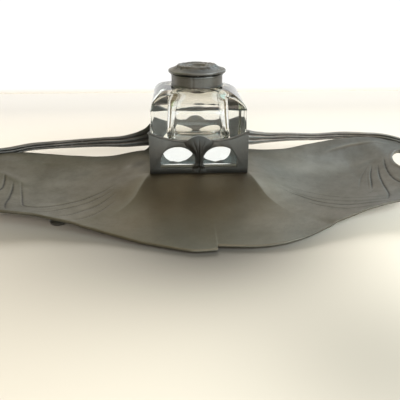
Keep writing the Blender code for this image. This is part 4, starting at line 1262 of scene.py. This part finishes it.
tray_pewter = pewter(
    "tray_pewter", (0.168, 0.165, 0.148), (0.235, 0.230, 0.208), (0.40, 0.54), brown=(0.165, 0.137, 0.097),
    # Painted shade on the left wing, painted light in the middle, a cooler right wing.
    sides=((0.86, 0.84, 0.76), (1.14, 1.14, 1.08), (0.95, 0.95, 0.98)),
)
dark_pewter = pewter(
    "gallery_pewter", (0.13, 0.13, 0.13), (0.22, 0.22, 0.218), (0.36, 0.52),
    # Painted shade along the foot of the gallery, which also darkens the tray's feet.
    foot_shade=(DECK + 1.2, DECK + 3.4),
)
rail_pewter = pewter(
    "rail_pewter", (0.13, 0.132, 0.135), (0.25, 0.252, 0.25), (0.30, 0.46), 0.8,
    # Painted shade by the gallery's left side and painted light along the right rail.
    sides=[(k, k, k) for k in (0.9, 1.05, 1.05, 0.28, 1.0, 2.0, 2.2, 2.3, 2.3)],
)
lid_pewter = pewter("lid_pewter", (0.14, 0.14, 0.138), (0.26, 0.26, 0.254), (0.36, 0.52), 0.9)
glass = clear_glass()
plaster = chalky_plaster()

build_tray(tray_pewter)
for rail_side in (-1, 1):
    build_rail(rail_side, rail_pewter)
build_gallery(dark_pewter)
build_bottle(glass)
build_collar(lid_pewter)
build_lid(lid_pewter)
build_lid_knuckle(lid_pewter)
for foot in ("front_left", "front_right", "back_left", "back_right"):
    dress(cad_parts["foot_" + foot], dark_pewter)
for hinge_part in ("hinge_fixed_leaf", "hinge_pin"):
    dress(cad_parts[hinge_part], lid_pewter)
dress(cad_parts["plaster_bed"], plaster)

# --- Floor, light and camera -------------------------------------------------------------------
WALL_Y = GALLERY.y + 0.276
WALL_TOP = 0.15
FLOOR_REACH = 0.95


def build_floor(look):
    """A pale floor with a low pale wall well behind the stand."""
    edges = ((-FLOOR_REACH, 0), (WALL_Y, 0), (WALL_Y, WALL_TOP))
    points = [(x, y, z) for y, z in edges for x in (-FLOOR_REACH, FLOOR_REACH)]
    floor = make_mesh("floor", points, grid_faces(3, 2))
    floor.data.shade_flat()
    dress(floor, look)
    return floor


def soft_light(name, location, target, size, watts, only):
    """An area light that reaches only what its linking collection names."""
    data = bpy.data.lights.new(name, "AREA")
    data.shape = "RECTANGLE"
    data.size, data.size_y = size
    data.energy = max(watts)
    data.color = tuple(w / max(watts) for w in watts)
    lamp = bpy.data.objects.new(name, data)
    lamp.location = location
    direction = Vector(target) - Vector(location)
    lamp.rotation_euler = direction.to_track_quat("-Z", "Y").to_euler()
    lamp.light_linking.receiver_collection = only
    bpy.context.scene.collection.objects.link(lamp)


def linking(name, floor, state):
    """A light-linking collection that includes or excludes the floor."""
    made = bpy.data.collections.new(name)
    made.objects.link(floor)
    made.collection_objects[0].light_linking.link_state = state
    return made


def build_lights(floor):
    stand_only = linking("stand_only", floor, "EXCLUDE")
    floor_only = linking("floor_only", floor, "INCLUDE")
    for name, (azimuth, elevation, watts) in STAND_LIGHTS.items():
        a, e = math.radians(azimuth), math.radians(elevation)
        direction = Vector((math.sin(a) * math.cos(e), math.cos(a) * math.cos(e), math.sin(e)))
        soft_light(name, direction * LIGHT_DISTANCE, (0, 0, 0), LIGHT_SIZE, watts, stand_only)
    for name, (location, target, size, watts) in FLOOR_LIGHTS.items():
        soft_light(name, location, target, size, watts, floor_only)


def build_world():
    """Dim warm light from the room, and a pale backdrop that only the camera sees."""
    world = bpy.data.worlds.new("room")
    bpy.context.scene.world = world
    n = Nodes(world, "Background")
    seen = n.add("LightPath").outputs["Is Camera Ray"]
    n.finish(Color=n.mix(seen, ROOM_LIGHT, BACKDROP))


ROOM_LIGHT = (0.25, 0.21, 0.13)
BACKDROP = (0.80, 0.77, 0.72)                  # what the camera sees past the floor and the wall
LIGHT_DISTANCE = 1.2
LIGHT_SIZE = (0.7, 0.45)
# Lights on the stand: azimuth from the back towards the right, elevation, and watts of red, green, blue.
STAND_LIGHTS = {
    "back_low": (0, 24, (0.96, 0.84, 0.71)),
    "back_high": (0, 48, (0.50, 0.62, 0.67)),
    "right_low": (45, 24, (0.66, 1.01, 1.08)),
    "window": (45, 48, (2.27, 2.51, 2.71)),
    "left_high": (-45, 48, (0.66, 0.61, 0.50)),
    "left": (-90, 30, (0.33, 0.54, 0.33)),
    "overhead": (0, 85, (1.27, 1.13, 1.00)),
    "front_high": (180, 50, (2.24, 1.80, 1.53)),
    "front_low": (180, 14, (0.80, 1.16, 1.31)),
    "front_right": (130, 20, (3.62, 4.05, 4.16)),
}
# Lights on the floor alone: place, target, size, and watts of red, green and blue.
FLOOR_LIGHTS = {
    "floor_back": ((0.0, 0.90, 0.63), (0.0, 0.0, 0.0), (1.4, 0.6), (11.0, 10.1, 8.4)),
    "floor_front": ((0.0, -1.0, 0.5), (0.0, -0.3, 0.0), (1.0, 0.4), (10.3, 9.4, 8.3)),
    "floor_right": ((0.32, -0.32, 0.25), (0.25, -0.2, 0.0), (0.3, 0.2), (1.63, 1.9, 1.9)),
    "floor_strip": ((0.0, 0.27, 0.22), (0.0, 0.18, 0.0), (1.4, 0.1), (0.85, 0.9, 0.98)),
}


CAMERA_PLACE = (-0.0121, -0.3208, 0.1216)      # from the gallery's middle
CAMERA_TILT, CAMERA_TURN = 66.3, -2.5          # degrees up from straight down, and to the right


def build_camera():
    """Camera low in front of the stand, a little to the left."""
    data = bpy.data.cameras.new("camera")
    data.lens = 45
    data.sensor_width = 36
    data.clip_start = 0.01
    camera = bpy.data.objects.new("camera", data)
    camera.location = GALLERY + Vector(CAMERA_PLACE)
    camera.rotation_euler = (math.radians(CAMERA_TILT), 0, math.radians(CAMERA_TURN))
    bpy.context.scene.collection.objects.link(camera)
    bpy.context.scene.camera = camera


build_lights(build_floor(floor_paint()))
build_world()
build_camera()
bpy.context.scene.view_settings.view_transform = "Standard"
